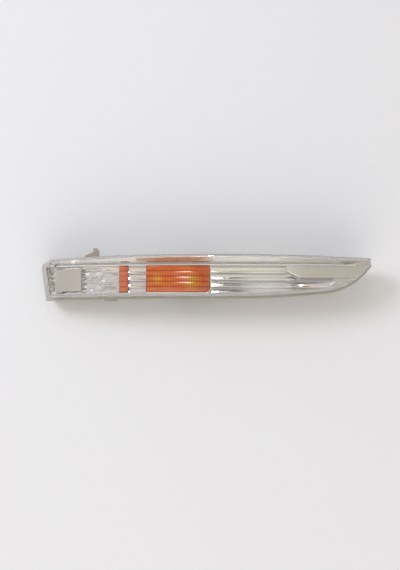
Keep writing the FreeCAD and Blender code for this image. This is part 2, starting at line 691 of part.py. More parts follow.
def amber_filter(plans):
    """Amber inner lens: a fluted block and a strip standing on one base plate."""
    crests = (f"({FRONT} - filter_depth)", f"({FRONT} - strip_depth)")
    blocks, hollows = [], []
    for name, plan, crest in zip(("block", "strip"), plans, crests):
        roof = fluted_roof(f"{name}_roof", crest)
        blocks.append(common(f"{name}_outside", [plan_prism(f"{name}_prism", plan), roof]))
        under = fluted_roof(f"{name}_under_roof", f"({crest} - filter_wall)")
        hollow = plan_prism(f"{name}_hollow_prism", plan, "0 - filter_wall")
        hollows.append(common(f"{name}_hollow", [hollow, under]))
    plate_x = ("strip_x - strip_width / 2 - filter_lip", "filter_x + filter_length / 2 + filter_lip")
    plate_y = ("filter_low", "filter_high + window_wall + filter_play")
    plate = box("filter_base", plate_x, plate_y, (PLATE_BACK, PLATE_FRONT))
    above = box("filter_height", plate_x, plate_y, (PLATE_BACK, CEILING))
    raised = common("filter_raised", [fuse("filter_blocks", blocks), above])
    return cut("amber_filter", fuse("filter_solid", [plate, raised]), hollows)


def reflex_tile():
    """Square prismatic tile that follows the wrap, set on the bezel's raised seat."""
    across = box("tile_plan", (f"{TILE_X} - tile_length / 2", f"{TILE_X} + tile_length / 2"),
                 ("tile_low", "tile_high"), ("0", CEILING))
    layer = slab("tile_layer", "tile_depth", "(tile_depth + tile_thick)")
    return common("reflex_tile", [across, layer])


def bulb_reflector():
    """Bowl round the bulb: a box open to the front with a hollow dished floor."""
    left, right = "filter_x - filter_length / 2", "filter_x + filter_length / 2"
    outer = box("bowl_outer", (left, right), ("filter_low", "filter_high"), (BOWL_BOTTOM, PLATE_BACK))
    inner = box("bowl_inner", (f"{left} + bowl_wall", f"{right} - bowl_wall"),
                ("filter_low + bowl_wall", "filter_high - bowl_wall"), ("0", CEILING))
    walls = cut("bowl_walls", outer, [inner])
    floor_z = f"({BOWL_BOTTOM} + bowl_wall)"
    far = "filter_length"
    lift = f"(bowl_radius - sqrt(bowl_radius^2 - ({far} - bowl_mouth)^2 / 4))"
    profile = [
        ("bowl_mouth", BOWL_BOTTOM),
        (far, f"{BOWL_BOTTOM} + {lift} * 2"),
        (far, f"{floor_z} + {lift} * 2"),
        ("bowl_mouth", floor_z),
    ]
    arcs = {0: ("bowl_radius * 2", "left"), 2: ("bowl_radius * 2", "right")}
    dish = turned("bowl_dish", "bulb_x", "bulb_y", profile, arcs)
    floor = common("bowl_floor", [dish, outer])
    return fuse("bulb_reflector", [walls, floor])


def foot_places():
    return ["0 - foot_spacing / 2", "foot_spacing / 2"]


def hook_solid():
    """Snap hook on the housing's top side: a low shoulder and a bevelled catch."""
    left, right = f"{HOOK_X} - hook_width / 2", f"{HOOK_X} + hook_width / 2"
    catch = f"({right} - hook_catch)"
    root = f"({TOP_END} - {CAVITY} + housing_wall / 2)"
    corners = [
        (left, root),
        (right, root),
        (right, f"{TOP_END} + hook_reach - hook_bevel"),
        (f"{right} - hook_bevel", f"{TOP_END} + hook_reach"),
        (catch, f"{TOP_END} + hook_reach"),
        (catch, f"{TOP_END} + hook_step"),
        (left, f"{TOP_END} + hook_step / 2"),
    ]
    owner = body("top_hook", z=f"{front_curve(HOOK_X)} - {RIM_DEPTH} - housing_rim - hook_thick")
    pad(owner, "top_hook_pad", body_sketch(owner, "XY_Plane", "top_hook_plan", corners), "hook_thick")
    return owner


def foot_solids():
    """Rear feet: round bosses with crossed ribs, down to the mounting plane."""
    solids = []
    for n, x in enumerate(foot_places()):
        top = f"({front_curve(x)} - {BACK_DEPTH} + housing_wall)"
        solids.append(post(f"foot_boss_{n}", x, "0", ("0", top), "foot_radius"))
        ribs = (("foot_spread", "foot_rib / 2"), ("foot_rib / 2", "foot_spread"))
        for m, (along, across) in enumerate(ribs):
            spans = (f"{x} - {along}", f"{x} + {along}"), (f"0 - {across}", across)
            solids.append(box(f"foot_rib_{n}_{m}", *spans, ("0", top)))
    return solids


def rib_solids():
    """Long and cross ribs that stiffen the housing's back."""
    layer = slab("rib_layer", f"({BACK_DEPTH} - housing_wall / 2)", f"({BACK_DEPTH} + rib_proud)")
    bars = []
    long_x = ("bend_x", f"{HALF} - rib_end")
    for n, side in enumerate((-1, 1)):
        middle = f"({side} * rib_spread / 2)"
        across = (f"{middle} - rib_thick / 2", f"{middle} + rib_thick / 2")
        bars.append(box(f"long_rib_{n}", long_x, across, ("0", CEILING)))
    for n, step in enumerate(CROSS_RIBS):
        x = f"({step} * rib_pitch + apex_x)"
        along = (f"{x} - rib_thick / 2", f"{x} + rib_thick / 2")
        across = ("0 - rib_spread / 2", "rib_spread / 2")
        bars.append(box(f"cross_rib_{n}", along, across, ("0", CEILING)))
    return common("back_ribs", [fuse("rib_bars", bars), layer])


def rear_housing():
    """Moulded back: trough, rim, collar, feet, ribs, hook, lug and breather spigot."""
    trough_block = slug("housing_block", HOUSING_OUTER, RIM_DEPTH, BACK_DEPTH)
    trough = rounded("housing_trough", trough_block, "housing_round", False)
    rim = slug("housing_rim_layer", None, RIM_DEPTH, f"({RIM_DEPTH} + housing_rim)")
    cavity = slug("housing_cavity", CAVITY, f"({RIM_DEPTH} - trim_margin)",
                  f"({BACK_DEPTH} - housing_wall)")
    collar = post("socket_collar", "bulb_x", "bulb_y", (COLLAR_END, BACK),
                  "barrel_radius + barrel_play + gasket_width + lug_radial")
    vent_z = f"({front_curve('vent_x')} - {BACK_DEPTH})"
    vent_span = (f"{vent_z} - vent_length", f"{vent_z} + housing_wall / 2")
    spigot = post("vent_spigot", "vent_x", "0", vent_span, "vent_radius")
    pads = []
    for n, x in enumerate(screw_places()):
        back = f"({front_curve(x)} - {BACK_DEPTH})"
        span = (f"{back} - screw_pad_proud", f"{back} + housing_wall / 2")
        pads.append(post(f"screw_pad_{n}", x, "screw_y", span, "screw_pad"))
    lug_layer = slab("lug_layer", RIM_DEPTH, f"({RIM_DEPTH} + housing_rim)")
    lug_plan = box("lug_plan", (f"{LUG_X} - lug_width / 2", f"{LUG_X} + lug_width / 2"),
                   (f"{BOTTOM} - lug_reach", f"{BOTTOM} + {HOUSING_OUTER} + housing_wall / 2"),
                   ("0", CEILING))
    lug = common("bottom_lug", [lug_plan, lug_layer])
    outside = [trough, rim, collar, spigot, lug, hook_solid(), rib_solids()] + pads + foot_solids()
    shell = cut("housing_shell", fuse("housing_outside", outside), [cavity])
    ring_outer = post("bowl_ring_outer", "bulb_x", "bulb_y", (f"{BACK} - housing_wall / 2", BOWL_BOTTOM),
                      "bowl_mouth + bowl_ring + lug_radial")
    ring_inner = post("bowl_ring_inner", "bulb_x", "bulb_y", ("0", CEILING), "bowl_mouth + lug_radial")
    ring = cut("bowl_ring", ring_outer, [ring_inner])
    holes = [post("socket_hole", "bulb_x", "bulb_y", ("0", BOWL_BOTTOM), "barrel_radius + barrel_play")]
    for n in range(TWIST_LUGS):
        angle = (n + 0.5) * FULL_TURN / TWIST_LUGS
        holes.append(twist_lug(f"lug_notch_{n}", angle, ("0", BOWL_BOTTOM), "barrel_play"))
    holes.append(post("vent_hole", "vent_x", "0", (f"{vent_z} - vent_length", RIM), "vent_bore"))
    for n, x in enumerate(screw_places()):
        back = f"({front_curve(x)} - {BACK_DEPTH})"
        span = (f"{back} - trim_margin", f"{back} + trim_margin")
        holes.append(post(f"screw_hole_{n}", x, "screw_y", span, "screw_radius + screw_play"))
    for n, x in enumerate(foot_places()):
        span = ("0", "insert_length + insert_relief")
        holes.append(post(f"insert_hole_{n}", x, "0", span, "insert_radius"))
    return cut("rear_housing", fuse("housing_solid", [shell, ring]), holes)


def twist_lug(name, angle, z_range, play):
    """One bayonet lug, or the notch that lets it through, at an angle round the socket."""
    side = f"(lug_side + 2 * {play})"
    lug = doc.addObject("Part::Box", name)
    bind(lug, Length=f"lug_radial + barrel_radius + {play}", Width=side,
         Height=f"({z_range[1]}) - ({z_range[0]})")
    turn = math.radians(angle)
    lug.Placement = FreeCAD.Placement(Vector(), Rotation(Vector(0, 0, 1), angle))
    x = f"bulb_x + {math.sin(turn)} * {side} / 2"
    y = f"bulb_y - {math.cos(turn)} * {side} / 2"
    return place(lug, x, y, z_range[0])


def threaded_inserts():
    """Brass inserts pressed into the two rear feet."""
    inserts = []
    for n, x in enumerate(foot_places()):
        outside = post(f"insert_{n}_outside", x, "0", ("0", "insert_length"), "insert_radius")
        bore = post(f"insert_{n}_bore", x, "0", ("0", "insert_length"), "insert_bore")
        inserts.append(cut(f"insert_{n}", outside, [bore]))
    group = doc.addObject("Part::Compound", "threaded_inserts")
    group.Links = inserts
    return group


def bezel_screws():
    """Pan head screws through the housing's back into the bezel's posts."""
    screws = []
    for n, x in enumerate(screw_places()):
        seat = f"({front_curve(x)} - {BACK_DEPTH} - screw_pad_proud)"
        round_edge = "(screw_head_thick / 2)"
        profile = [
            ("0", f"{seat} - screw_head_thick"),
            (f"screw_head_radius - {round_edge}", f"{seat} - screw_head_thick"),
            ("screw_head_radius", f"{seat} - screw_head_thick + {round_edge}"),
            ("screw_head_radius", seat),
            ("screw_radius", seat),
            ("screw_radius", f"{seat} + screw_length - screw_radius"),
            ("0", f"{seat} + screw_length"),
        ]
        screws.append(turned(f"bezel_screw_{n}", x, "screw_y", profile, {1: (round_edge, "left")}))
    group = doc.addObject("Part::Compound", "bezel_screws")
    group.Links = screws
    return group


def vent_cap():
    """Rubber cap over the breather spigot."""
    mouth = f"({front_curve('vent_x')} - {BACK_DEPTH} - vent_length)"
    inner = "(vent_radius + vent_cap_gap)"
    outer = f"({inner} + vent_cap_wall)"
    high = f"({mouth} + vent_cap_cover)"
    profile = [
        ("0", f"{mouth} - vent_cap_gap - vent_cap_wall"),
        (f"{outer} - vent_cap_wall", f"{mouth} - vent_cap_gap - vent_cap_wall"),
        (outer, f"{mouth} - vent_cap_gap"),
        (outer, high),
        (inner, high),
        (inner, f"{mouth} - vent_cap_gap"),
        ("0", f"{mouth} - vent_cap_gap"),
    ]
    return turned("vent_cap", "vent_x", "0", profile, {1: ("vent_cap_wall", "left")})


def vent_membrane():
    """Breather disc inside the spigot."""
    mouth = f"({front_curve('vent_x')} - {BACK_DEPTH} - vent_length)"
    return post("vent_membrane", "vent_x", "0", (mouth, f"{mouth} + membrane_thick"), "vent_bore")


WEDGE_END = "slot_floor"
WEDGE_TOP = f"({WEDGE_END} + wedge_height)"
FILAMENT_Z = f"({WEDGE_TOP} + filament_height)"


def bulb_glass():
    """Clear wedge base bulb: a hollow domed tube pinched to a flat wedge."""
    top = f"({WEDGE_END} + bulb_length)"
    shoulder = f"({top} - bulb_radius)"
    inner = "(bulb_radius - bulb_glass)"
    profile = [
        ("0", WEDGE_TOP),
        ("wedge_width / 2 - bulb_glass", WEDGE_TOP),
        ("bulb_radius", f"{WEDGE_TOP} + bulb_radius / 3"),
        ("bulb_radius", shoulder),
        ("0", top),
        ("0", f"{top} - bulb_glass"),
        (inner, shoulder),
        (inner, f"{WEDGE_TOP} + bulb_radius / 3"),
        ("wedge_width / 2 - 2 * bulb_glass", f"{WEDGE_TOP} + bulb_glass"),
        ("0", f"{WEDGE_TOP} + bulb_glass"),
    ]
    arcs = {3: ("bulb_radius", "left"), 5: (inner, "right")}
    glass = turned("bulb_glass", "bulb_x", "bulb_y", profile, arcs)
    left, right = "0 - wedge_width / 2", "wedge_width / 2"
    near, far = "0 - wedge_thick / 2", "wedge_thick / 2"
    corners = [(left, near), (right, near), (right, far), (left, far)]
    wedge = body_sketch(glass, "XY_Plane", "wedge_plan", corners, offset=WEDGE_END)
    pad(glass, "wedge_pad", wedge, "wedge_height")
    return glass


def bulb_filament():
    """Tungsten coil across the bulb, as a slim rod of the coil's size."""
    coil = doc.addObject("Part::Cylinder", "bulb_filament")
    bind(coil, Radius="filament_radius", Height="filament_length")
    coil.Placement = FreeCAD.Placement(Vector(), Rotation(Vector(0, 1, 0), 90))
    return place(coil, "bulb_x - filament_length / 2", "bulb_y", FILAMENT_Z)


def bulb_lead_wires():
    """Two wires from the pinch up to the ends of the coil."""
    wires = []
    for n, side in enumerate((-1, 1)):
        x = f"bulb_x + {side} * (filament_length / 2 + wire_radius)"
        span = (f"{WEDGE_TOP} + bulb_glass", f"{FILAMENT_Z} + filament_radius")
        wires.append(post(f"lead_wire_{n}", x, "bulb_y", span, "wire_radius"))
    group = doc.addObject("Part::Compound", "bulb_lead_wires")
    group.Links = wires
    return group


BLADE_LOW = "(slot_floor + blade_lift)"
FINGER_INNER = "(wedge_thick / 2)"
MOUTH_END = "(bulb_x + socket_radius + shroud_length)"
MOUTH_FLOOR = f"({MOUTH_END} - shroud_deep)"
BLADE_TIP = f"({MOUTH_FLOOR} + blade_reach)"


def contact(name, side, play=None):
    """A sheet contact: a finger beside the wedge and a blade out into the connector.
    With play it is the slot that the sheet is pushed into."""
    grow = play or "0"
    inner, outer = f"({FINGER_INNER} - {grow})", f"({FINGER_INNER} + blade_thick + {grow})"
    y_range = (f"bulb_y - {outer}", f"bulb_y - {inner}")
    if side > 0:
        y_range = (f"bulb_y + {inner}", f"bulb_y + {outer}")
    low, high = f"{BLADE_LOW} - {grow}", f"{BLADE_LOW} + blade_width + {grow}"
    left = f"bulb_x - blade_width / 2 - {grow}"
    blade = box(f"{name}_blade", (left, f"{BLADE_TIP} + {grow}"), y_range, (low, high))
    finger = box(f"{name}_finger", (left, f"bulb_x + blade_width / 2 + {grow}"), y_range,
                 (low, f"{BLADE_LOW} + finger_height + {grow}"))
    return fuse(name, [blade, finger])


def bulb_socket():
    """Twist-in holder: base, flange and barrel turned as one, with lugs and a connector shroud."""
    top = f"({BACK} + housing_wall + lug_lift + lug_thick + barrel_end)"
    flange_back, flange_front = "socket_base", "(socket_base + socket_flange)"
    profile = [
        ("0", "0"),
        ("socket_radius", "0"),
        ("socket_radius", flange_back),
        ("socket_flange_radius", flange_back),
        ("socket_flange_radius", flange_front),
        ("barrel_radius", flange_front),
        ("barrel_radius", top),
        ("0", top),
    ]
    core = turned("socket_core", "bulb_x", "bulb_y", profile)
    lug_low = f"({BACK} + housing_wall + lug_lift)"
    lugs = []
    for n in range(TWIST_LUGS):
        angle = n * FULL_TURN / TWIST_LUGS
        lugs.append(twist_lug(f"twist_lug_{n}", angle, (lug_low, f"{lug_low} + lug_thick"), "0"))
    half = "(shroud_width / 2)"
    shroud = box("connector_shroud", ("bulb_x", MOUTH_END), (f"bulb_y - {half}", f"bulb_y + {half}"),
                 ("0", "socket_base"))
    nose_x = (f"{MOUTH_END} - latch_length - shroud_wall", f"{MOUTH_END} - shroud_wall")
    nose = box("latch_nose", nose_x, ("bulb_y - latch_width / 2", "bulb_y + latch_width / 2"),
               ("socket_base", "socket_base + latch_proud"))
    solid = fuse("socket_solid", [core, shroud, nose] + lugs)
    mouth = box("connector_mouth", (MOUTH_FLOOR, f"{MOUTH_END} + trim_margin"),
                (f"bulb_y - {half} + shroud_wall", f"bulb_y + {half} - shroud_wall"),
                ("shroud_wall", "socket_base - shroud_wall"))
    slot = box("wedge_slot",
               ("bulb_x - wedge_width / 2 - slot_play", "bulb_x + wedge_width / 2 + slot_play"),
               ("bulb_y - wedge_thick / 2 - slot_play", "bulb_y + wedge_thick / 2 + slot_play"),
               (WEDGE_END, CEILING))
    bell = post("bulb_bell", "bulb_x", "bulb_y", (WEDGE_TOP, CEILING), "bulb_radius + slot_play")
    slots = [contact(f"contact_slot_{n}", side, "slot_play") for n, side in enumerate((-1, 1))]
    return cut("bulb_socket", solid, [mouth, slot, bell] + slots)


def socket_gasket():
    """Flat rubber ring between the socket flange and the housing collar."""
    span = ("(socket_base + socket_flange)", COLLAR_END)
    hole = "barrel_radius + barrel_play"
    outside = post("gasket_outside", "bulb_x", "bulb_y", span, f"{hole} + gasket_width")
    bore = post("gasket_bore", "bulb_x", "bulb_y", span, hole)
    return cut("socket_gasket", outside, [bore])


amber_plans = [filter_outline(), strip_outline()]
PIECES = [
    outer_lens(),
    lens_seal(),
    chrome_bezel(amber_plans),
    amber_filter(amber_plans),
    reflex_tile(),
    bulb_reflector(),
    rear_housing(),
    threaded_inserts(),
    bezel_screws(),
    vent_cap(),
    vent_membrane(),
    bulb_glass(),
    bulb_filament(),
    bulb_lead_wires(),
    bulb_socket(),
    socket_gasket(),
    contact("live_contact", 1),
    contact("ground_contact", -1),
]
doc.recompute()

for thing in doc.Objects:
    if "Invalid" in thing.State or "Error" in thing.State:
        raise RuntimeError(f"{thing.Name} failed: {thing.State}")
os.makedirs("parts", exist_ok=True)
for piece in PIECES:
    if piece.Shape.isNull() or not piece.Shape.isValid() or not piece.Shape.Solids:
        raise RuntimeError(f"{piece.Label} has no sound shape")
for piece in PIECES:
    piece.Shape.exportStep(f"parts/{piece.Label}.step")
    bounds = piece.Shape.BoundBox
    print(f"{piece.Label}: {len(piece.Shape.Solids)} solids, {piece.Shape.Volume:.0f} mm3, "
          f"x {bounds.XMin:.1f}..{bounds.XMax:.1f} y {bounds.YMin:.1f}..{bounds.YMax:.1f} "
          f"z {bounds.ZMin:.1f}..{bounds.ZMax:.1f}")
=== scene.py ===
import math

import bmesh
import bpy
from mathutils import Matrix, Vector


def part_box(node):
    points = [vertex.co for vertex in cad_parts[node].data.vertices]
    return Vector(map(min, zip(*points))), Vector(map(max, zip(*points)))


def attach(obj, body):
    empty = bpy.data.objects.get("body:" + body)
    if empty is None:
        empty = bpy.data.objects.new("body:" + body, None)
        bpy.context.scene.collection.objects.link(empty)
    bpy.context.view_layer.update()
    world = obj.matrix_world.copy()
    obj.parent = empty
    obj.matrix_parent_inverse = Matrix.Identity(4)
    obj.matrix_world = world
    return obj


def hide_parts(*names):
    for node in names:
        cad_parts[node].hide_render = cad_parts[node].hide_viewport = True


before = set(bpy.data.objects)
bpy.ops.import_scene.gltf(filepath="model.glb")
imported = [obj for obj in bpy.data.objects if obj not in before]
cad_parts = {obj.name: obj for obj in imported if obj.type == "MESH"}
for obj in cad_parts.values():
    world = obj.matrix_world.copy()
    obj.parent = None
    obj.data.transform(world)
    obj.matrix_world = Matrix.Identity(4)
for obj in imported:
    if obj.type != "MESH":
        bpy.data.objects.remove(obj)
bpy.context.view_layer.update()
bpy.context.scene.view_settings.view_transform = "Standard"

# Rear housing. An injection moulded trough of beige grey plastic with a hook, ribs, feet and a
# collar for the bulb holder. Everything else is screwed, pushed or glued into it.
MM = 0.001
HOUSING_TONE = (0.45, 0.42, 0.33, 1.0)
HOUSING_SHADE = (0.36, 0.33, 0.26, 1.0)
GRAIN_SIZE = 0.9 * MM
FINE_DETAIL = 4.0
BROAD_DETAIL = 3.0
BROAD_PATCHES = 40.0
GLOSS_DRIFT = 0.08


def node_group(name, inputs, outputs):
    """An empty shader group with named sockets, and its two end nodes."""
    tree = bpy.data.node_groups.new(name, "ShaderNodeTree")
    for socket, kind in inputs:
        tree.interface.new_socket(socket, in_out="INPUT", socket_type=kind)
    for socket, kind in outputs:
        tree.interface.new_socket(socket, in_out="OUTPUT", socket_type=kind)
    return tree, tree.nodes.new("NodeGroupInput"), tree.nodes.new("NodeGroupOutput")


def moulded_grain():
    """Fine bumps and slow changes of tone that a moulded or cast surface has."""
    inputs = [
        ("Place", "NodeSocketVector"),
        ("Fine", "NodeSocketFloat"),
        ("Broad", "NodeSocketFloat"),
    ]
    outputs = [("Height", "NodeSocketFloat"), ("Patch", "NodeSocketFloat")]
    tree, start, end = node_group("moulded_grain", inputs, outputs)
    fine = tree.nodes.new("ShaderNodeTexNoise")
    fine.inputs["Detail"].default_value = FINE_DETAIL
    broad = tree.nodes.new("ShaderNodeTexNoise")
    broad.inputs["Detail"].default_value = BROAD_DETAIL
    for noise, size in ((fine, "Fine"), (broad, "Broad")):
        tree.links.new(start.outputs["Place"], noise.inputs["Vector"])
        tree.links.new(start.outputs[size], noise.inputs["Scale"])
    tree.links.new(fine.outputs["Fac"], end.inputs["Height"])
    tree.links.new(broad.outputs["Fac"], end.inputs["Patch"])
    return tree


GRAIN = moulded_grain()


def finish(
    name, tone, shade, roughness, fine, bump, broad=BROAD_PATCHES, rougher=GLOSS_DRIFT, **sockets
):
    """A material whose tone and gloss drift over the piece, with a fine grain under it."""
    material = bpy.data.materials.new(name)
    material.use_nodes = True
    nodes, links = material.node_tree.nodes, material.node_tree.links
    surface = nodes["Principled BSDF"]
    for socket, value in sockets.items():
        surface.inputs[socket.replace("_", " ")].default_value = value
    place = nodes.new("ShaderNodeTexCoord")
    grain = nodes.new("ShaderNodeGroup")
    grain.node_tree = GRAIN
    grain.inputs["Fine"].default_value = fine
    grain.inputs["Broad"].default_value = broad
    links.new(place.outputs["Object"], grain.inputs["Place"])
    tones = nodes.new("ShaderNodeMix")
    tones.data_type = "RGBA"
    tones.inputs["A"].default_value = tone
    tones.inputs["B"].default_value = shade
    links.new(grain.outputs["Patch"], tones.inputs["Factor"])
    links.new(tones.outputs["Result"], surface.inputs["Base Color"])
    gloss = nodes.new("ShaderNodeMapRange")
    gloss.inputs["To Min"].default_value = max(roughness - rougher, 0.0)
    gloss.inputs["To Max"].default_value = roughness + rougher
    links.new(grain.outputs["Patch"], gloss.inputs["Value"])
    links.new(gloss.outputs["Result"], surface.inputs["Roughness"])
    relief = nodes.new("ShaderNodeBump")
    relief.inputs["Distance"].default_value = GRAIN_SIZE
    relief.inputs["Strength"].default_value = bump
    links.new(grain.outputs["Height"], relief.inputs["Height"])
    links.new(relief.outputs["Normal"], surface.inputs["Normal"])
    return material


def dress(node, material):
    """Give a solid that is shown as it is its finish."""
    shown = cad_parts[node]
    shown.data.materials.clear()
    shown.data.materials.append(material)


housing_plastic = finish(
    "housing_plastic", HOUSING_TONE, HOUSING_SHADE, roughness=0.5, fine=1400.0, bump=0.12
)
dress("rear_housing", housing_plastic)

# Threaded inserts. Knurled brass bushes pressed hot into the two rear feet, for the screws that
# hold the lamp to the body.
INSERT_TONE = (0.62, 0.42, 0.14, 1.0)
INSERT_SHADE = (0.48, 0.31, 0.10, 1.0)
insert_brass = finish(
    "insert_brass", INSERT_TONE, INSERT_SHADE, roughness=0.3, fine=900.0, bump=0.1, Metallic=1.0
)
dress("threaded_inserts", insert_brass)

# Breather. A felt disc in the spigot lets the lamp breathe, and a black rubber cap pushed over
# the spigot keeps water off it.
RUBBER_TONE = (0.020, 0.020, 0.021, 1.0)
RUBBER_SHADE = (0.035, 0.034, 0.033, 1.0)
FELT_TONE = (0.78, 0.77, 0.72, 1.0)
FELT_SHADE = (0.66, 0.64, 0.58, 1.0)
membrane_felt = finish(
    "membrane_felt", FELT_TONE, FELT_SHADE, roughness=0.9, fine=3500.0, bump=0.5
)
dress("vent_membrane", membrane_felt)
vent_rubber = finish(
    "vent_rubber", RUBBER_TONE, RUBBER_SHADE, roughness=0.65, fine=1500.0, bump=0.15
)
dress("vent_cap", vent_rubber)

# Bulb bowl. A small moulded bowl behind the amber block, coated bright, that throws the bulb's
# light forward. It stands on the housing's ring.
BRIGHT_TONE = (0.86, 0.86, 0.85, 1.0)
BRIGHT_SHADE = (0.80, 0.80, 0.79, 1.0)
bright_bowl = finish(
    "bright_bowl", BRIGHT_TONE, BRIGHT_SHADE, roughness=0.14, fine=700.0, bump=0.02, Metallic=1.0
)
dress("bulb_reflector", bright_bowl)

# Bezel. A moulded tray coated with bright metal: a stepped ledge along the top, and below it a
# field of long flutes that lift towards the tip. Three screws hold it from behind.
MERGE_WITHIN = 0.002 * MM
BEZEL_CREASE = math.radians(6)


def smooth_copy(node, name, material, crease):
    """A merged copy of a solid with its round faces shaded smooth, shown in its place."""
    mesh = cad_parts[node].data.copy()
    mesh.name = name
    merged = bmesh.new()
    merged.from_mesh(mesh)
    bmesh.ops.remove_doubles(merged, verts=merged.verts, dist=MERGE_WITHIN)
    merged.to_mesh(mesh)
    merged.free()
    mesh.shade_smooth()
    mesh.set_sharp_from_angle(angle=crease)
    mesh.materials.clear()
    mesh.materials.append(material)
    piece = bpy.data.objects.new(name, mesh)
    bpy.context.scene.collection.objects.link(piece)
    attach(piece, "root")
    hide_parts(node)
    return piece


bright_coat = finish(
    "bright_coat", BRIGHT_TONE, BRIGHT_SHADE, roughness=0.07, fine=500.0, bump=0.015, Metallic=1.0
)
bezel = smooth_copy("chrome_bezel", "bezel", bright_coat, BEZEL_CREASE)

# Flutes. The bright coat's polished face over the bezel's floor: five long flutes across a
# shallow basin, rippled at the wrapped end and swept up like a spoon at the tip, and the shelf
# beside the spoon. The coat is laid on the moulding as metal vapour.
FRONT_Z = 66.0 * MM
APEX_X = 25.0 * MM
MAIN_RADIUS = 1600.0 * MM
BEND_X = -70.0 * MM
WRAP_RADIUS = 360.0 * MM
RISE_X = 78.0 * MM
RISE_RADIUS = 190.0 * MM
FIELD_TOP = 9.8 * MM
FIELD_BOTTOM = -17.4 * MM
FIELD_RIGHT = 160.0 * MM
FLUTES = 5
FLUTE_EDGE_DEPTH = 13.0 * MM
FLUTE_MID_DEPTH = 17.0 * MM
FLUTE_SWELL = 0.5 * MM
COAT_LIFT = 0.12 * MM
RIPPLE_START = -84.0 * MM
RIPPLE_FULL = -96.0 * MM
RIPPLE_LENGTH = 19.0 * MM
RIPPLE_HEIGHT = 0.6 * MM
RIPPLE_PITCH = 4.6 * MM
RIPPLE_SLANT = 0.16
RIPPLE_WAVER = 1.1
COLUMN_STEP = 0.8 * MM
FLUTE_ROWS = 12
DECK_DEPTH = 9.1 * MM
COAT_THICK = 0.1 * MM
LAMP_LEFT = -166.0 * MM
LAMP_TOP = 22.5 * MM
TOP_ARCH = 4.0 * MM
CUT_Y = 6.5 * MM
END_HIGH = LAMP_TOP - TOP_ARCH - CUT_Y
END_SLANT = 5.0 * MM
KEEL_X = 10.0 * MM
KEEL_Y = -22.5 * MM
KEEL_RADIUS = 950.0 * MM
BOW_X = 119.0 * MM
BOW_Y = -17.2 * MM
BOW_END_X = 161.9 * MM
BOW_END_Y = 5.6 * MM
BOW_RADIUS = 65.0 * MM
TRAY_INSET = 5.2 * MM
COVE_RADIUS = 4.0 * MM
WINDOWS = ((-86.3 * MM, -77.7 * MM), (-59.3 * MM, 4.3 * MM))
SHELF_START = 80.0 * MM
SHELF_CORNER = 93.0 * MM
SHELF_POINT = 4.4 * MM
SHELF_LOW = -1.7 * MM
SHELF_LIP = 3.2 * MM
SHELF_BEND = 9.0 * MM
SHELF_WALL = 5.0 * MM
SHELF_ROWS = 8
LIP_ROWS = 6
SLIVER = 0.01 * MM
FLUTE_CREASE = math.radians(15)


def lens_front(x):
    """Height of the lens's face along the lamp, without the rise at the tip."""
    bend_z = FRONT_Z - MAIN_RADIUS + math.sqrt(MAIN_RADIUS**2 - (BEND_X - APEX_X) ** 2)
    if x >= BEND_X:
        return FRONT_Z - MAIN_RADIUS + math.sqrt(MAIN_RADIUS**2 - (x - APEX_X) ** 2)
    share = WRAP_RADIUS / MAIN_RADIUS
    centre_x = BEND_X + (APEX_X - BEND_X) * share
    centre_z = bend_z + (FRONT_Z - MAIN_RADIUS - bend_z) * share
    return centre_z + math.sqrt(WRAP_RADIUS**2 - (x - centre_x) ** 2)


def field_path(x):
    """Height of the path that the flutes follow: the lens's face, then the spoon's rise."""
    if x <= RISE_X:
        return lens_front(x)
    share = RISE_RADIUS / MAIN_RADIUS
    centre_x = RISE_X + (RISE_X - APEX_X) * share
    centre_z = lens_front(RISE_X) + (lens_front(RISE_X) - FRONT_Z + MAIN_RADIUS) * share
    return centre_z - math.sqrt(RISE_RADIUS**2 - (x - centre_x) ** 2)


def flute_depth(across):
    """Depth of the fluted basin; across runs from 0 at its top edge to 1 at its bottom edge."""
    flute = min(int(across * FLUTES), FLUTES - 1)
    along = across * FLUTES - flute
    ends = []
    for edge in (flute, flute + 1):
        share = (2 * edge / FLUTES - 1) ** 2
        ends.append(FLUTE_MID_DEPTH - (FLUTE_MID_DEPTH - FLUTE_EDGE_DEPTH) * share)
    chord = ends[0] + (ends[1] - ends[0]) * along
    return chord - FLUTE_SWELL * 4 * along * (1 - along)


def ripple(x, across):
    """Slanted swells over the flutes at the wrapped end, wavering along their length."""
    fade = min(max((RIPPLE_START - x) / (RIPPLE_START - RIPPLE_FULL), 0.0), 1.0)
    y = FIELD_TOP + (FIELD_BOTTOM - FIELD_TOP) * across
    waver = RIPPLE_WAVER * math.sin(2 * math.pi * x / RIPPLE_LENGTH)
    phase = 2 * math.pi * (y - RIPPLE_SLANT * x) / RIPPLE_PITCH + waver
    return fade * RIPPLE_HEIGHT * (0.5 + 0.5 * math.sin(phase))


def arc_centre(start, end, radius):
    """Centre of the arc that runs from start to end, on its left."""
    middle = (Vector(start) + Vector(end)) / 2
    chord = Vector(end) - Vector(start)
    side = Vector((-chord.y, chord.x)).normalized()
    return middle + side * math.sqrt(radius**2 - (chord.length / 2) ** 2)


def tray_bottom(x):
    """Lower edge of the tray's inside along the lamp, in plan."""
    if x <= KEEL_X:
        return KEEL_Y + TRAY_INSET
    if x <= BOW_X:
        centre = arc_centre((KEEL_X, KEEL_Y), (BOW_X, BOW_Y), KEEL_RADIUS)
        radius = KEEL_RADIUS - TRAY_INSET
    else:
        centre = arc_centre((BOW_X, BOW_Y), (BOW_END_X, BOW_END_Y), BOW_RADIUS)
        radius = BOW_RADIUS - TRAY_INSET
    return centre.y - math.sqrt(max(radius**2 - (x - centre.x) ** 2, 0.0))


def tray_left(y):
    """Inside of the tray's wrapped end in plan, which slants like the lamp's edge there."""
    slanted = (END_HIGH - y) / (END_HIGH - KEEL_Y)
    return LAMP_LEFT + END_SLANT * slanted + TRAY_INSET


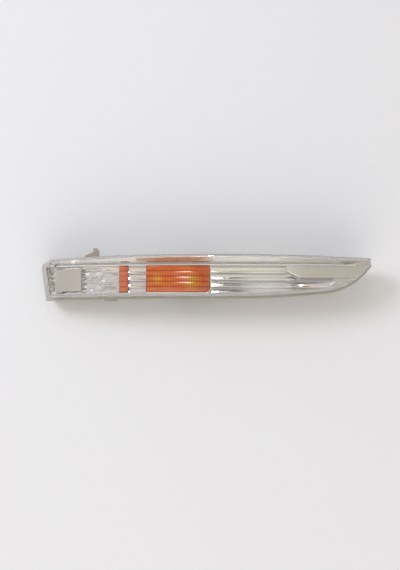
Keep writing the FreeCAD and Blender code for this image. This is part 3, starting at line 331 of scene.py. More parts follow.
def end_cove(x, y):
    """Rise of the flutes' ends where they meet the wall of the wrapped end."""
    into = COVE_RADIUS - min(x - tray_left(y), COVE_RADIUS)
    return COVE_RADIUS - math.sqrt(COVE_RADIUS**2 - into**2)


def shelf_edge(x):
    """Front edge of the tip's shelf in plan: slanted at its start, then level."""
    slanted = min((x - SHELF_START) / (SHELF_CORNER - SHELF_START), 1.0)
    return max(SHELF_POINT + (SHELF_LOW - SHELF_POINT) * slanted, tray_bottom(x))


def shelf_column(x):
    """Points down the shelf at one place: its level top, the rolled lip and the wall below it."""
    edge = shelf_edge(x)
    top = lens_front(x) - DECK_DEPTH + COAT_LIFT
    column = []
    for row in range(SHELF_ROWS + 1):
        column.append((x, FIELD_TOP + (edge - FIELD_TOP) * row / SHELF_ROWS, top))
    for row in range(1, LIP_ROWS + 1):
        out = SHELF_LIP * row / LIP_ROWS
        fall = SHELF_BEND - math.sqrt(SHELF_BEND**2 - out**2)
        column.append((x, max(edge - out, tray_bottom(x)), top - fall))
    column.append((x, max(edge - SHELF_LIP, tray_bottom(x)), top - SHELF_WALL))
    return column


def lay(skin, columns):
    """Faces between neighbouring columns of points."""
    previous = None
    for column in columns:
        points = [skin.verts.new(point) for point in column]
        if previous:
            for upper in range(len(points) - 1):
                ring = (previous[upper], previous[upper + 1], points[upper + 1], points[upper])
                skin.faces.new(ring)
        previous = points


def flute_column(column_x):
    """Points down the flutes at one place, kept inside the tray."""
    column = []
    for row in range(FLUTES * FLUTE_ROWS + 1):
        across = row / (FLUTES * FLUTE_ROWS)
        y = max(FIELD_TOP + (FIELD_BOTTOM - FIELD_TOP) * across, tray_bottom(column_x))
        x = max(column_x, tray_left(y))
        z = field_path(x) - flute_depth(across) + max(ripple(x, across), end_cove(x, y))
        column.append((x, y, min(z, lens_front(x) - DECK_DEPTH - COAT_LIFT) + COAT_LIFT))
    return column


def fluted_field():
    """The polished face as a thin skin, open where the amber pieces come through."""
    left_end = tray_left(FIELD_TOP)
    stops = [left_end] + [edge for window in WINDOWS for edge in window] + [FIELD_RIGHT]
    skin = bmesh.new()
    for span in range(0, len(stops), 2):
        left, right = stops[span], stops[span + 1]
        columns = max(int((right - left) / COLUMN_STEP), 1)
        places = [left + (right - left) * column / columns for column in range(columns + 1)]
        lay(skin, [flute_column(x) for x in places])
    shelf_columns = int((FIELD_RIGHT - SHELF_START) / COLUMN_STEP)
    places = [SHELF_START + COLUMN_STEP * column for column in range(shelf_columns + 1)]
    lay(skin, [shelf_column(x) for x in places])
    bmesh.ops.dissolve_degenerate(skin, dist=SLIVER, edges=skin.edges)
    mesh = bpy.data.meshes.new("flutes")
    skin.to_mesh(mesh)
    skin.free()
    mesh.shade_smooth()
    mesh.set_sharp_from_angle(angle=FLUTE_CREASE)
    mesh.materials.append(bright_coat)
    piece = bpy.data.objects.new("flutes", mesh)
    bpy.context.scene.collection.objects.link(piece)
    wall = piece.modifiers.new("coat", "SOLIDIFY")
    wall.thickness = COAT_THICK
    wall.offset = -1.0
    return piece


flutes = fluted_field()
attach(flutes, "root")

# Bezel lips. Pale strips laid on the bezel as painted highlights where its edges catch the light:
# one along the ledge, one at the start of the tip's shelf, and the rim that stands up round the
# amber block's window. They are part of the bezel's moulding.
LIP_HIGHLIGHT_TONE = (0.90, 0.89, 0.87, 1.0)
LIP_HIGHLIGHT_SHADE = (0.84, 0.83, 0.80, 1.0)
LIP_WIDE = 1.0 * MM
LIP_THICK = 0.25 * MM
TREAD_DEPTH = 8.8 * MM
LEDGE_DEPTH = 7.5 * MM
LEDGE_LINE = 10.4 * MM
LEDGE_LEFT = -150.0 * MM
LEDGE_RIGHT = 150.0 * MM
RIM_RIGHT = 4.9 * MM
RIM_LOW = -17.8 * MM
RIM_LEFT = -59.5 * MM
RIM_CORNER = 5.6 * MM
CORNER_STEPS = 10
RIM_STEPS = 30


def rim_foot(point):
    """The point on the bezel's floor that the window's rim stands on."""
    across = (FIELD_TOP - point.y) / (FIELD_TOP - FIELD_BOTTOM)
    floor_z = field_path(point.x) - flute_depth(min(max(across, 0.0), 1.0))
    return Vector((point.x, point.y, floor_z))


def lip(name, path, feet):
    """A strip along a path of points; feet are the points below them that it stands on."""
    strip = bmesh.new()
    sections = []
    for n, (point, foot) in enumerate(zip(path, feet)):
        along = (path[min(n + 1, len(path) - 1)] - path[max(n - 1, 0)]).to_2d().normalized()
        side = Vector((-along.y, along.x, 0.0)) * LIP_WIDE / 2
        up = Vector((0.0, 0.0, LIP_THICK))
        corners = (foot - side, point - side + up, point + side + up, foot + side)
        sections.append([strip.verts.new(corner) for corner in corners])
    for before, after in zip(sections, sections[1:]):
        for n in range(4):
            m = (n + 1) % 4
            strip.faces.new((before[n], before[m], after[m], after[n]))
    for end in (sections[0], sections[-1]):
        strip.faces.new(end)
    bmesh.ops.recalc_face_normals(strip, faces=strip.faces)
    mesh = bpy.data.meshes.new(name)
    strip.to_mesh(mesh)
    strip.free()
    mesh.materials.append(satin_edge)
    piece = bpy.data.objects.new(name, mesh)
    bpy.context.scene.collection.objects.link(piece)
    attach(piece, "root")


# The strips' pale colour is a painted highlight along the bezel's edges.
satin_edge = finish("satin_edge", LIP_HIGHLIGHT_TONE, LIP_HIGHLIGHT_SHADE, roughness=0.35, fine=700.0, bump=0.05)
ledge_path = []
ledge_steps = int((LEDGE_RIGHT - LEDGE_LEFT) / COLUMN_STEP)
for step in range(ledge_steps + 1):
    x = LEDGE_LEFT + COLUMN_STEP * step
    ledge_path.append(Vector((x, LEDGE_LINE, lens_front(x) - TREAD_DEPTH)))
lip("ledge_lip", ledge_path, ledge_path)
rim_z = FRONT_Z - LEDGE_DEPTH
rim_path = []
for step in range(RIM_STEPS):
    y = FIELD_TOP + (RIM_LOW + RIM_CORNER - FIELD_TOP) * step / RIM_STEPS
    rim_path.append(Vector((RIM_RIGHT, y, rim_z)))
for step in range(CORNER_STEPS + 1):
    turn = math.pi / 2 * step / CORNER_STEPS
    x = RIM_RIGHT - RIM_CORNER * (1 - math.cos(turn))
    rim_path.append(Vector((x, RIM_LOW + RIM_CORNER * (1 - math.sin(turn)), rim_z)))
rim_path.append(Vector((RIM_LEFT, RIM_LOW, rim_z)))
lip("window_lip", rim_path, [rim_foot(point) for point in rim_path])
shelf_path = []
for step in range(CORNER_STEPS + 1):
    x = SHELF_START + (SHELF_CORNER - SHELF_START) * step / CORNER_STEPS
    shelf_path.append(Vector((x, shelf_edge(x), lens_front(x) - DECK_DEPTH + COAT_LIFT)))
lip("shelf_lip", shelf_path, shelf_path)

# Bezel screws. Plated pan head screws, driven from the back through the housing into the
# bezel's posts.
SCREW_TONE = (0.58, 0.58, 0.57, 1.0)
SCREW_SHADE = (0.50, 0.49, 0.46, 1.0)
screw_steel = finish(
    "screw_steel", SCREW_TONE, SCREW_SHADE, roughness=0.3, fine=1200.0, bump=0.08, Metallic=1.0
)
dress("bezel_screws", screw_steel)

# Amber filter. One moulding of clear amber plastic: a fluted block over the bulb and a narrow
# strip beside it, on a plate that is clipped behind the bezel.
AMBER_TONE = (1.0, 0.34, 0.02, 1.0)
AMBER_SHADE = (0.90, 0.11, 0.01, 1.0)
# A painted glow: paler amber in round spots over the bulb, where the bowl's light shines through.
AMBER_PAINTED_GLOW = (1.0, 0.62, 0.02, 1.0)
RIB_PITCH = 2.6 * MM
# Painted shade: darker stripes along the ribs inside the block and in the valleys of its flutes.
RIB_PAINTED_SHADE = (0.85, 0.55, 0.45, 1.0)
VALLEY_PAINTED_SHADE = (0.72, 0.40, 0.35, 1.0)
BLOCK_TOP = 9.4 * MM
BLOCK_FLUTE = 5.26 * MM
VALLEY_START = 0.6
WAVE_PERIOD = math.pi / 10
MOULD_CREASE = math.radians(30)
PAINTED_GLOW_SPOTS = (((-14.0 * MM, -7.0 * MM), 11.0 * MM), ((-48.0 * MM, -4.0 * MM), 7.0 * MM))


def painted_glow_and_shade(material):
    """Painted glow: paler spots over the bulb. Painted shade: darker ribs and flute valleys."""
    nodes, links = material.node_tree.nodes, material.node_tree.links
    surface = nodes["Principled BSDF"]
    place = nodes["Texture Coordinate"].outputs["Object"]
    tone = surface.inputs["Base Color"].links[0].from_socket
    # Painted glow: paler amber in each round spot.
    for (x, y), radius in PAINTED_GLOW_SPOTS:
        spot = nodes.new("ShaderNodeMapping")
        spot.inputs["Location"].default_value = (-x / radius, -y / radius, 0.0)
        spot.inputs["Scale"].default_value = (1.0 / radius, 1.0 / radius, 0.0)
        round_mask = nodes.new("ShaderNodeTexGradient")
        round_mask.gradient_type = "SPHERICAL"
        paler = nodes.new("ShaderNodeMix")
        paler.data_type = "RGBA"
        paler.inputs["B"].default_value = AMBER_PAINTED_GLOW
        links.new(place, spot.inputs["Vector"])
        links.new(spot.outputs["Vector"], round_mask.inputs["Vector"])
        links.new(round_mask.outputs["Fac"], paler.inputs["Factor"])
        links.new(tone, paler.inputs["A"])
        tone = paler.outputs["Result"]
    # Painted shade: darker stripes along the ribs and in the valleys between the flutes.
    valley_phase = math.pi - 2 * math.pi * BLOCK_TOP / BLOCK_FLUTE
    for direction, pitch, phase, sharp, shade in (
        ("X", RIB_PITCH, 0.0, 0.0, RIB_PAINTED_SHADE),
        ("Y", BLOCK_FLUTE, valley_phase, VALLEY_START, VALLEY_PAINTED_SHADE),
    ):
        waves = nodes.new("ShaderNodeTexWave")
        waves.bands_direction = direction
        waves.inputs["Scale"].default_value = WAVE_PERIOD / pitch
        waves.inputs["Phase Offset"].default_value = phase
        narrow = nodes.new("ShaderNodeMapRange")
        narrow.inputs["From Min"].default_value = sharp
        darker = nodes.new("ShaderNodeMix")
        darker.data_type = "RGBA"
        darker.blend_type = "MULTIPLY"
        darker.inputs["B"].default_value = shade
        links.new(place, waves.inputs["Vector"])
        links.new(waves.outputs["Fac"], narrow.inputs["Value"])
        links.new(narrow.outputs["Result"], darker.inputs["Factor"])
        links.new(tone, darker.inputs["A"])
        tone = darker.outputs["Result"]
    links.new(tone, surface.inputs["Base Color"])


amber_plastic = finish(
    "amber_plastic", AMBER_TONE, AMBER_SHADE,
    roughness=0.03, fine=300.0, bump=0.01, broad=90.0, rougher=0.02,
    Transmission_Weight=0.3, IOR=1.49, Coat_Weight=1.0, Coat_Roughness=0.02, Coat_IOR=1.5,
)
painted_glow_and_shade(amber_plastic)
amber = smooth_copy("amber_filter", "amber", amber_plastic, MOULD_CREASE)

# Amber ribs. Upright half-round ribs inside the amber block, moulded on the back of its roof,
# which spread the bulb's light sideways.
RIB_RADIUS = 0.95 * MM
RIB_START = -55.0 * MM
RIB_END = 0.2 * MM
RIB_LOW = -14.4 * MM
RIB_HIGH = 7.0 * MM
RIB_TOP = 57.75 * MM
RIB_SIDES = 20


def rib_tree():
    """A row of round bars, each lying across the lamp."""
    tree = bpy.data.node_groups.new("amber_ribs", "GeometryNodeTree")
    inputs = [
        ("Material", "NodeSocketMaterial"),
        ("Start", "NodeSocketVector"),
        ("Step", "NodeSocketVector"),
        ("Count", "NodeSocketInt"),
        ("Radius", "NodeSocketFloat"),
        ("Length", "NodeSocketFloat"),
    ]
    for name, kind in inputs:
        tree.interface.new_socket(name, in_out="INPUT", socket_type=kind)
    tree.interface.new_socket("Geometry", in_out="OUTPUT", socket_type="NodeSocketGeometry")
    add, link = tree.nodes.new, tree.links.new
    start, end = add("NodeGroupInput"), add("NodeGroupOutput")
    row, bar = add("GeometryNodeMeshLine"), add("GeometryNodeMeshCylinder")
    turn = add("GeometryNodeTransform")
    bar.inputs["Vertices"].default_value = RIB_SIDES
    turn.inputs["Rotation"].default_value = (math.pi / 2, 0.0, 0.0)
    scatter, real = add("GeometryNodeInstanceOnPoints"), add("GeometryNodeRealizeInstances")
    paint = add("GeometryNodeSetMaterial")
    link(start.outputs["Count"], row.inputs["Count"])
    link(start.outputs["Start"], row.inputs["Start Location"])
    link(start.outputs["Step"], row.inputs["Offset"])
    link(start.outputs["Radius"], bar.inputs["Radius"])
    link(start.outputs["Length"], bar.inputs["Depth"])
    link(bar.outputs["Mesh"], turn.inputs["Geometry"])
    link(row.outputs["Mesh"], scatter.inputs["Points"])
    link(turn.outputs["Geometry"], scatter.inputs["Instance"])
    link(scatter.outputs["Instances"], real.inputs["Geometry"])
    link(real.outputs["Geometry"], paint.inputs["Geometry"])
    link(start.outputs["Material"], paint.inputs["Material"])
    link(paint.outputs["Geometry"], end.inputs["Geometry"])
    return tree


def grown(name, tree, **values):
    """A plain mesh object made by a tree of nodes with the given inputs."""
    maker = bpy.data.objects.new(name, bpy.data.meshes.new(name))
    bpy.context.scene.collection.objects.link(maker)
    step = maker.modifiers.new("grow", "NODES")
    step.node_group = tree
    for item in tree.interface.items_tree:
        if item.in_out == "INPUT":
            step[item.identifier] = values[item.name.replace(" ", "_")]
    bpy.context.view_layer.update()
    shaped = maker.evaluated_get(bpy.context.evaluated_depsgraph_get())
    mesh = bpy.data.meshes.new_from_object(shaped)
    mesh.name = name
    maker.modifiers.remove(step)
    maker.data = mesh
    return maker


ribs = grown(
    "ribs", rib_tree(),
    Material=amber_plastic,
    Start=(RIB_START, (RIB_LOW + RIB_HIGH) / 2, RIB_TOP - RIB_RADIUS),
    Step=(RIB_PITCH, 0.0, 0.0),
    Count=int((RIB_END - RIB_START) / RIB_PITCH) + 1,
    Radius=RIB_RADIUS,
    Length=RIB_HIGH - RIB_LOW,
)
ribs.data.shade_smooth()
ribs.data.set_sharp_from_angle(angle=MOULD_CREASE)
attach(ribs, "root")

# Reflex tile. A small square of clear plastic with rows of tiny prisms, which sends a
# headlamp's light back. It is glued to a raised seat on the bezel.
TILE_TONE = (0.80, 0.74, 0.70, 1.0)
TILE_SHADE = (0.70, 0.64, 0.60, 1.0)
reflex_plastic = finish(
    "reflex_plastic", TILE_TONE, TILE_SHADE,
    roughness=0.22, fine=900.0, bump=0.2, Transmission_Weight=0.3, IOR=1.49
)
tile = smooth_copy("reflex_tile", "tile", reflex_plastic, MOULD_CREASE)

# Prisms. Rows of low four-sided points that cover the tile's face, of the same clear plastic and
# moulded in one with it.
PRISM_PITCH = 1.45 * MM
PRISM_HEIGHT = 0.42 * MM
PRISM_SIDES = 4


def prism_tree():
    """Points on a grid dropped on to the tile's face, each with a low pyramid."""
    tree = bpy.data.node_groups.new("tile_prisms", "GeometryNodeTree")
    inputs = [
        ("Tile", "NodeSocketObject"),
        ("Material", "NodeSocketMaterial"),
        ("Centre", "NodeSocketVector"),
        ("Length", "NodeSocketFloat"),
        ("Width", "NodeSocketFloat"),
        ("Columns", "NodeSocketInt"),
        ("Rows", "NodeSocketInt"),
        ("Point Radius", "NodeSocketFloat"),
        ("Point Height", "NodeSocketFloat"),
    ]
    for name, kind in inputs:
        tree.interface.new_socket(name, in_out="INPUT", socket_type=kind)
    tree.interface.new_socket("Geometry", in_out="OUTPUT", socket_type="NodeSocketGeometry")
    add, link = tree.nodes.new, tree.links.new
    start, end = add("NodeGroupInput"), add("NodeGroupOutput")
    grid, shift = add("GeometryNodeMeshGrid"), add("GeometryNodeTransform")
    drop = add("GeometryNodeRaycast")
    down, under = add("FunctionNodeInputVector"), add("GeometryNodeObjectInfo")
    down.vector = (0.0, 0.0, -1.0)
    cone, turn = add("GeometryNodeMeshCone"), add("GeometryNodeTransform")
    cone.inputs["Vertices"].default_value = PRISM_SIDES
    turn.inputs["Rotation"].default_value = (0.0, 0.0, math.pi / PRISM_SIDES)
    settle, scatter = add("GeometryNodeSetPosition"), add("GeometryNodeInstanceOnPoints")
    real, paint = add("GeometryNodeRealizeInstances"), add("GeometryNodeSetMaterial")
    link(start.outputs["Length"], grid.inputs["Size X"])
    link(start.outputs["Width"], grid.inputs["Size Y"])
    link(start.outputs["Columns"], grid.inputs["Vertices X"])
    link(start.outputs["Rows"], grid.inputs["Vertices Y"])
    link(grid.outputs["Mesh"], shift.inputs["Geometry"])
    link(start.outputs["Centre"], shift.inputs["Translation"])
    link(start.outputs["Tile"], under.inputs["Object"])
    link(under.outputs["Geometry"], drop.inputs["Target Geometry"])
    link(down.outputs["Vector"], drop.inputs["Ray Direction"])
    link(shift.outputs["Geometry"], settle.inputs["Geometry"])
    link(drop.outputs["Hit Position"], settle.inputs["Position"])
    link(start.outputs["Point Radius"], cone.inputs["Radius Bottom"])
    link(start.outputs["Point Height"], cone.inputs["Depth"])
    link(cone.outputs["Mesh"], turn.inputs["Geometry"])
    link(settle.outputs["Geometry"], scatter.inputs["Points"])
    link(turn.outputs["Geometry"], scatter.inputs["Instance"])
    link(scatter.outputs["Instances"], real.inputs["Geometry"])
    link(real.outputs["Geometry"], paint.inputs["Geometry"])
    link(start.outputs["Material"], paint.inputs["Material"])
    link(paint.outputs["Geometry"], end.inputs["Geometry"])
    return tree


(tile_x0, tile_y0, _), (tile_x1, tile_y1, tile_z1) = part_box("reflex_tile")
prism_columns = int((tile_x1 - tile_x0) / PRISM_PITCH)
prism_rows = int((tile_y1 - tile_y0) / PRISM_PITCH)
prisms = grown(
    "prisms", prism_tree(),
    Tile=tile, Material=reflex_plastic,
    Centre=((tile_x0 + tile_x1) / 2, (tile_y0 + tile_y1) / 2, tile_z1 + PRISM_PITCH),
    Length=(prism_columns - 1) * PRISM_PITCH, Width=(prism_rows - 1) * PRISM_PITCH,
    Columns=prism_columns, Rows=prism_rows,
    Point_Radius=PRISM_PITCH / math.sqrt(2), Point_Height=PRISM_HEIGHT,
)
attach(prisms, "root")

# Seal. A bead of grey adhesive laid on the housing's rim, which the lens's foot is pressed into.
# It cures and holds the lens for good.
SEAL_TONE = (0.74, 0.72, 0.67, 1.0)
SEAL_SHADE = (0.66, 0.64, 0.58, 1.0)
seal_bead = finish("seal_bead", SEAL_TONE, SEAL_SHADE, roughness=0.5, fine=600.0, bump=0.3)
dress("lens_seal", seal_bead)

# Lens. A clear moulded cover, polished in the mould, with a foot all round that sits in the seal
# and the stub of its gate on the top edge.
LENS_TONE = (0.985, 0.98, 0.97, 1.0)
LENS_SHADE = (0.97, 0.965, 0.95, 1.0)
LAMP_RIGHT = 166.0 * MM
CUT_X = 9.0 * MM
TIP_SETBACK = 1.5 * MM
TIP_EDGE = 8.0 * MM
STATIONS = 150
STATION_CROWDING = 1.15
FLANGE = 1.6 * MM
FLANGE_THICK = 3.0 * MM
LENS_WALL = 2.0 * MM
LENS_DEPTH = 20.0 * MM
LENS_SINK = 0.01 * MM
LENS_ROUND = 3.0 * MM
INNER_ROUND = 1.0 * MM
ROUND_STEPS = 6
PIP_X = 114.0 * MM
PIP_RADIUS = 2.0 * MM
PIP_SIDES = 24
FROST_ROUGHNESS = 0.55
STEEP = 0.75
LENS_CREASE = math.radians(35)


def lamp_outline():
    """The lamp's outline in plan, anticlockwise: the bottom edge, the tip, the top edge, the end.
    Bottom and top have the same number of stations, so that the face can span between them."""
    ends_y = LAMP_TOP - TOP_ARCH
    tip = Vector((LAMP_RIGHT, ends_y - TIP_EDGE))
    top_right = Vector((LAMP_RIGHT - TIP_SETBACK, ends_y))
    top_left = Vector((LAMP_LEFT + CUT_X, ends_y))
    left = Vector((LAMP_LEFT, END_HIGH))
    bottom_left = Vector((LAMP_LEFT + END_SLANT, KEEL_Y))
    bow_end = Vector((BOW_END_X, BOW_END_Y))
    keel_centre = arc_centre((KEEL_X, KEEL_Y), (BOW_X, BOW_Y), KEEL_RADIUS)
    bow_centre = arc_centre((BOW_X, BOW_Y), bow_end, BOW_RADIUS)
    half_chord = (top_right.x - top_left.x) / 2
    top_radius = (half_chord**2 + TOP_ARCH**2) / (2 * TOP_ARCH)
    top_middle = (top_right.x + top_left.x) / 2
    bottom, top = [], []
    for station in range(STATIONS + 1):
        share = station / STATIONS
        crowded = math.sin(share * math.pi / 2) ** STATION_CROWDING
        x = bottom_left.x + (bow_end.x - bottom_left.x) * crowded
        if x <= KEEL_X:
            y = KEEL_Y
        elif x <= BOW_X:
            y = keel_centre.y - math.sqrt(KEEL_RADIUS**2 - (x - keel_centre.x) ** 2)
        else:
            y = bow_centre.y - math.sqrt(max(BOW_RADIUS**2 - (x - bow_centre.x) ** 2, 0.0))
        bottom.append(Vector((x, y)))
        reach = (x - bottom_left.x) / (bow_end.x - bottom_left.x)
        x = top_left.x + (top_right.x - top_left.x) * reach
        y = LAMP_TOP - top_radius + math.sqrt(top_radius**2 - (x - top_middle) ** 2)
        top.append(Vector((x, y)))
    return bottom + [tip] + top[::-1] + [left]


def drawn_in(outline, inset):
    """The outline moved inwards, each corner along its own bisector."""
    moved = []
    for n, point in enumerate(outline):
        before = (point - outline[n - 1]).normalized()
        after = (outline[(n + 1) % len(outline)] - point).normalized()
        normals = [Vector((-side.y, side.x)) for side in (before, after)]
        bisector = (normals[0] + normals[1]) / (1 + normals[0].dot(normals[1]))
        moved.append(point + bisector * inset)
    return moved


def lens_rings():
    """Insets and depths of the lens's section, from the inner face round to the outer face."""
    inner = FLANGE + LENS_WALL
    rings = []
    for step in range(ROUND_STEPS, -1, -1):
        turn = math.pi / 2 * step / ROUND_STEPS
        inset = inner + INNER_ROUND * (1 - math.cos(turn))
        rings.append((inset, LENS_WALL + INNER_ROUND * (1 - math.sin(turn))))
    rings += [(inner, LENS_DEPTH), (0.0, LENS_DEPTH), (0.0, LENS_DEPTH - FLANGE_THICK)]
    rings += [(FLANGE, LENS_DEPTH - FLANGE_THICK)]
    for step in range(ROUND_STEPS + 1):
        turn = math.pi / 2 * step / ROUND_STEPS
        inset = FLANGE + LENS_ROUND * (1 - math.cos(turn))
        rings.append((inset, LENS_SINK + LENS_ROUND * (1 - math.sin(turn))))
    return rings


def lens_mesh():
    """The lens as one closed shell, with a mark on its steep sides for their softer finish."""
    outline = lamp_outline()
    shell = bmesh.new()
    loops = []
    for inset, depth in lens_rings():
        points = drawn_in(outline, inset)
        loops.append([shell.verts.new((p.x, p.y, lens_front(p.x) - depth)) for p in points])
    count = len(outline)
    for lower, upper in zip(loops, loops[1:]):
        for n in range(count):
            m = (n + 1) % count
            shell.faces.new((lower[n], lower[m], upper[m], upper[n]))
    for loop in (loops[0], loops[-1]):
        bottom, top = loop[: STATIONS + 1], loop[STATIONS + 2 : 2 * STATIONS + 3][::-1]
        for n in range(STATIONS):
            shell.faces.new((bottom[n], bottom[n + 1], top[n + 1], top[n]))
        shell.faces.new((bottom[-1], loop[STATIONS + 1], top[-1]))
        shell.faces.new((top[0], loop[-1], bottom[0]))
    pip = bmesh.ops.create_cone(
        shell, cap_ends=True, segments=PIP_SIDES,
        radius1=PIP_RADIUS, radius2=PIP_RADIUS, depth=FLANGE_THICK,
    )
    rim_y = max(p.y for p in outline if abs(p.x - PIP_X) < PIP_RADIUS)
    pip_z = lens_front(PIP_X) - LENS_DEPTH + FLANGE_THICK / 2
    bmesh.ops.translate(shell, verts=pip["verts"], vec=(PIP_X, rim_y - PIP_RADIUS / 2, pip_z))
    bmesh.ops.recalc_face_normals(shell, faces=shell.faces)
    mesh = bpy.data.meshes.new("lens")
    shell.to_mesh(mesh)
    shell.free()
    mesh.shade_smooth()
    mesh.set_sharp_from_angle(angle=LENS_CREASE)
    frost = mesh.attributes.new("frost", "FLOAT", "FACE")
    frost.data.foreach_set("value", [float(abs(f.normal.z) < STEEP) for f in mesh.polygons])
    return mesh


def let_light_in(material):
    """Clear pieces cast next to no shadow: light goes straight through them."""
    nodes, links = material.node_tree.nodes, material.node_tree.links
    clear = nodes.new("ShaderNodeBsdfTransparent")
    path = nodes.new("ShaderNodeLightPath")
    either = nodes.new("ShaderNodeMixShader")
    links.new(path.outputs["Is Shadow Ray"], either.inputs["Fac"])
    links.new(nodes["Principled BSDF"].outputs["BSDF"], either.inputs[1])
    links.new(clear.outputs["BSDF"], either.inputs[2])
    links.new(either.outputs["Shader"], nodes["Material Output"].inputs["Surface"])


def soften_sides(material):
    """Read the mark on the steep sides and make the gloss there softer."""
    nodes, links = material.node_tree.nodes, material.node_tree.links
    mark = nodes.new("ShaderNodeAttribute")
    mark.attribute_name = "frost"
    soft = nodes.new("ShaderNodeMath")
    soft.operation = "MULTIPLY_ADD"
    soft.inputs[1].default_value = FROST_ROUGHNESS
    gloss = nodes["Principled BSDF"].inputs["Roughness"].links[0].from_socket
    links.new(mark.outputs["Fac"], soft.inputs[0])
    links.new(gloss, soft.inputs[2])
    links.new(soft.outputs["Value"], nodes["Principled BSDF"].inputs["Roughness"])


clear_lens = finish(
    "clear_lens", LENS_TONE, LENS_SHADE,
    roughness=0.015, fine=200.0, bump=0.004, rougher=0.012,
    Transmission_Weight=1.0, IOR=1.5,
)
soften_sides(clear_lens)
let_light_in(clear_lens)
lens = bpy.data.objects.new("lens", lens_mesh())
lens.data.materials.append(clear_lens)
bpy.context.scene.collection.objects.link(lens)
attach(lens, "root")
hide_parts("outer_lens")

# Bulb holder. A black plastic socket that twists into the housing's collar against a rubber
# ring, with two sheet contacts and the connector for the plug.
SOCKET_TONE = (0.030, 0.030, 0.032, 1.0)
SOCKET_SHADE = (0.045, 0.044, 0.043, 1.0)
CONTACT_TONE = (0.70, 0.58, 0.34, 1.0)
CONTACT_SHADE = (0.58, 0.48, 0.30, 1.0)
socket_plastic = finish(
    "socket_plastic", SOCKET_TONE, SOCKET_SHADE, roughness=0.45, fine=1400.0, bump=0.12
)
dress("bulb_socket", socket_plastic)
gasket_rubber = finish(
    "gasket_rubber", RUBBER_TONE, RUBBER_SHADE, roughness=0.7, fine=1500.0, bump=0.15
)
dress("socket_gasket", gasket_rubber)
contact_brass = finish(
    "contact_brass", CONTACT_TONE, CONTACT_SHADE,
    roughness=0.28, fine=1100.0, bump=0.08, Metallic=1.0,
)
dress("live_contact", contact_brass)
dress("ground_contact", contact_brass)

# Bulb. Clear blown glass pinched to a flat wedge that pushes into the socket, with a tungsten
# coil held between two wires.
GLASS_TONE = (0.96, 0.975, 0.97, 1.0)
GLASS_SHADE = (0.94, 0.96, 0.955, 1.0)
WIRE_TONE = (0.50, 0.48, 0.45, 1.0)
COIL_TONE = (0.22, 0.22, 0.23, 1.0)
COIL_SHADE = (0.30, 0.29, 0.29, 1.0)
bulb_clear = finish(
    "bulb_clear", GLASS_TONE, GLASS_SHADE,
    roughness=0.01, fine=150.0, bump=0.01, rougher=0.008,
    Transmission_Weight=1.0, IOR=1.5,
)
let_light_in(bulb_clear)
bulb = smooth_copy("bulb_glass", "bulb", bulb_clear, MOULD_CREASE)
filament_metal = finish(
    "filament_metal", COIL_TONE, COIL_SHADE, roughness=0.4, fine=2500.0, bump=0.2, Metallic=1.0
)
dress("bulb_filament", filament_metal)
wire_metal = finish(
    "wire_metal", WIRE_TONE, COIL_SHADE, roughness=0.3, fine=1800.0, bump=0.1, Metallic=1.0
)
dress("bulb_lead_wires", wire_metal)

# Studio. A pale sheet under the lamp, soft light from the upper left and the near side, two
# ceiling tubes, and a room in plain tones for the bright metal to show. The camera looks nearly
# straight down.
FLOOR_TONE = (0.82, 0.84, 0.88, 1.0)
FLOOR_SHADE = (0.80, 0.82, 0.86, 1.0)
FLOOR_HALF = 8.0
FRAME_WIDTH = 0.400
VIEW_CENTRE = Vector((-0.006, -0.00875, 0.046))
VIEW_TILT = math.radians(84.0)
VIEW_DISTANCE = 2.0

floor_mesh = bpy.data.meshes.new("floor")
corners = [(-1, -1), (1, -1), (1, 1), (-1, 1)]
floor_points = [(x * FLOOR_HALF, y * FLOOR_HALF, 0.0) for x, y in corners]
floor_mesh.from_pydata(floor_points, [], [(0, 1, 2, 3)])
floor = bpy.data.objects.new("floor", floor_mesh)
bpy.context.scene.collection.objects.link(floor)
floor_sheet = finish(
    "floor_sheet", FLOOR_TONE, FLOOR_SHADE, roughness=0.7, fine=300.0, bump=0.02, broad=2.0
)
floor_mesh.materials.append(floor_sheet)


def soft_lamp(name, place, size, watts, tint):
    """A soft round lamp aimed at the middle, which neither bright metal nor glass shows."""
    light = bpy.data.lights.new(name, "AREA")
    light.shape = "DISK"
    light.size = size
    light.energy = watts
    light.color = tint
    lamp = bpy.data.objects.new(name, light)
    lamp.location = place
    lamp.rotation_euler = (-Vector(place)).to_track_quat("-Z", "Y").to_euler()
    lamp.visible_glossy = False
    lamp.visible_transmission = False
    bpy.context.scene.collection.objects.link(lamp)


def tube_lamp(name, place, wide, long, watts):
    """A ceiling tube that shines straight down; wide is its size along the lamp."""
    light = bpy.data.lights.new(name, "AREA")
    light.shape = "RECTANGLE"
    light.size = wide
    light.size_y = long
    light.energy = watts
    tube = bpy.data.objects.new(name, light)
    tube.location = place
    bpy.context.scene.collection.objects.link(tube)


soft_lamp("window", place=(-1.2, 0.7, 1.7), size=0.8, watts=16.0, tint=(0.90, 0.95, 1.0))
soft_lamp("fill", place=(0.1, -1.6, 1.4), size=2.6, watts=17.0, tint=(1.0, 0.94, 0.84))
tube_lamp("near_tube", place=(-0.045, 1.65, 2.4), wide=0.03, long=2.0, watts=4.5)
tube_lamp("far_tube", place=(-1.55, 1.25, 2.4), wide=0.06, long=1.3, watts=1.2)

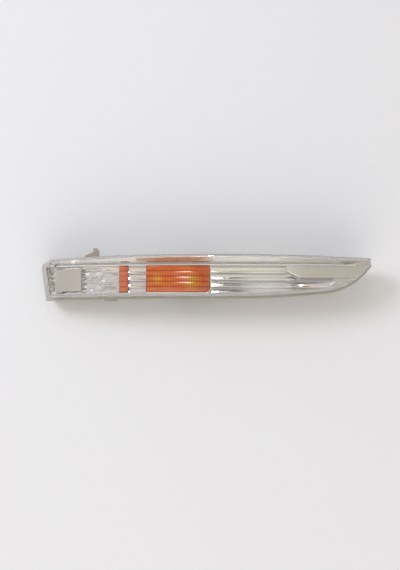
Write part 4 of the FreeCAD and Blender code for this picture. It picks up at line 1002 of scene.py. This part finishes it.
ROOM_TONES = (
    (0.00, (0.80, 0.72, 0.60, 1.0)),
    (0.10, (0.92, 0.83, 0.69, 1.0)),
    (0.20, (0.74, 0.68, 0.60, 1.0)),
    (0.30, (0.40, 0.39, 0.39, 1.0)),
    (0.40, (0.42, 0.41, 0.41, 1.0)),
    (0.47, (0.78, 0.75, 0.71, 1.0)),
    (0.56, (0.88, 0.85, 0.81, 1.0)),
    (0.75, (0.62, 0.61, 0.61, 1.0)),
    (1.00, (0.74, 0.73, 0.73, 1.0)),
)
SIDE_TONES = (
    (0.00, (0.96, 0.94, 1.00, 1.0)),
    (0.30, (0.98, 0.95, 0.97, 1.0)),
    (0.45, (1.00, 1.00, 1.00, 1.0)),
    (0.58, (1.00, 1.00, 1.00, 1.0)),
    (0.64, (0.66, 0.63, 0.59, 1.0)),
    (1.00, (0.61, 0.60, 0.56, 1.0)),
)
OFF = (0.0, 0.0, 0.0, 1.0)
ON = (1.0, 1.0, 1.0, 1.0)
SCREEN_SIDES = ((0.468, OFF), (0.487, ON), (0.523, ON), (0.548, OFF))
SCREEN_HEIGHT = ((0.38, OFF), (0.42, ON), (0.50, ON), (0.53, OFF), (0.60, OFF), (0.64, ON))
SCREEN_TONE = (0.14, 0.12, 0.12, 1.0)
CURTAIN_SIDES = ((0.34, OFF), (0.37, ON), (0.470, ON), (0.480, OFF))
CURTAIN_HEIGHT = ((0.49, OFF), (0.51, ON), (0.66, ON), (0.70, OFF))
CURTAIN_TONE = (0.50, 0.22, 0.11, 1.0)
WALL_REACH = 1.0
SIDE_REACH = 0.5
ROOM_LIGHT = 1.02
world = bpy.data.worlds.new("studio")
world.use_nodes = True
bpy.context.scene.world = world
sky = world.node_tree
room = sky.nodes["Background"]
parts = sky.nodes.new("ShaderNodeSeparateXYZ")
sky.links.new(sky.nodes.new("ShaderNodeTexCoord").outputs["Generated"], parts.inputs["Vector"])


def across_room(axis, reach, stops):
    """Tones that change with the direction looked in, along one axis."""
    sweep = sky.nodes.new("ShaderNodeMapRange")
    sweep.inputs["From Min"].default_value = -reach
    sweep.inputs["From Max"].default_value = reach
    tones = sky.nodes.new("ShaderNodeValToRGB")
    while len(tones.color_ramp.elements) < len(stops):
        tones.color_ramp.elements.new(0.5)
    for stop, (place, tone) in zip(tones.color_ramp.elements, stops):
        stop.position = place
        stop.color = tone
    sky.links.new(parts.outputs[axis], sweep.inputs["Value"])
    sky.links.new(sweep.outputs["Result"], tones.inputs["Fac"])
    return tones.outputs["Color"]


def blended(mode, factor, lower, upper):
    """Two tones of the room laid one over the other."""
    mix = sky.nodes.new("ShaderNodeMix")
    mix.data_type = "RGBA"
    mix.blend_type = mode
    for value, socket in ((factor, "Factor"), (lower, "A"), (upper, "B")):
        if isinstance(value, bpy.types.NodeSocket):
            sky.links.new(value, mix.inputs[socket])
        else:
            mix.inputs[socket].default_value = value
    return mix.outputs["Result"]


walls = across_room("Y", WALL_REACH, ROOM_TONES)
walls = blended("MULTIPLY", 1.0, walls, across_room("X", SIDE_REACH, SIDE_TONES))
for sides, height, tone in (
    (SCREEN_SIDES, SCREEN_HEIGHT, SCREEN_TONE),
    (CURTAIN_SIDES, CURTAIN_HEIGHT, CURTAIN_TONE),
):
    patch = across_room("X", SIDE_REACH, sides)
    patch = blended("MULTIPLY", 1.0, patch, across_room("Y", WALL_REACH, height))
    walls = blended("MIX", patch, walls, tone)
sky.links.new(walls, room.inputs["Color"])
room.inputs["Strength"].default_value = ROOM_LIGHT

view = bpy.data.cameras.new("view")
view.sensor_fit = "HORIZONTAL"
view.angle = 2 * math.atan(FRAME_WIDTH / 2 / VIEW_DISTANCE)
camera = bpy.data.objects.new("view", view)
away = Vector((0.0, -math.cos(VIEW_TILT), math.sin(VIEW_TILT)))
camera.location = VIEW_CENTRE + away * VIEW_DISTANCE
camera.rotation_euler = (math.pi / 2 - VIEW_TILT, 0.0, 0.0)
bpy.context.scene.collection.objects.link(camera)
bpy.context.scene.camera = camera
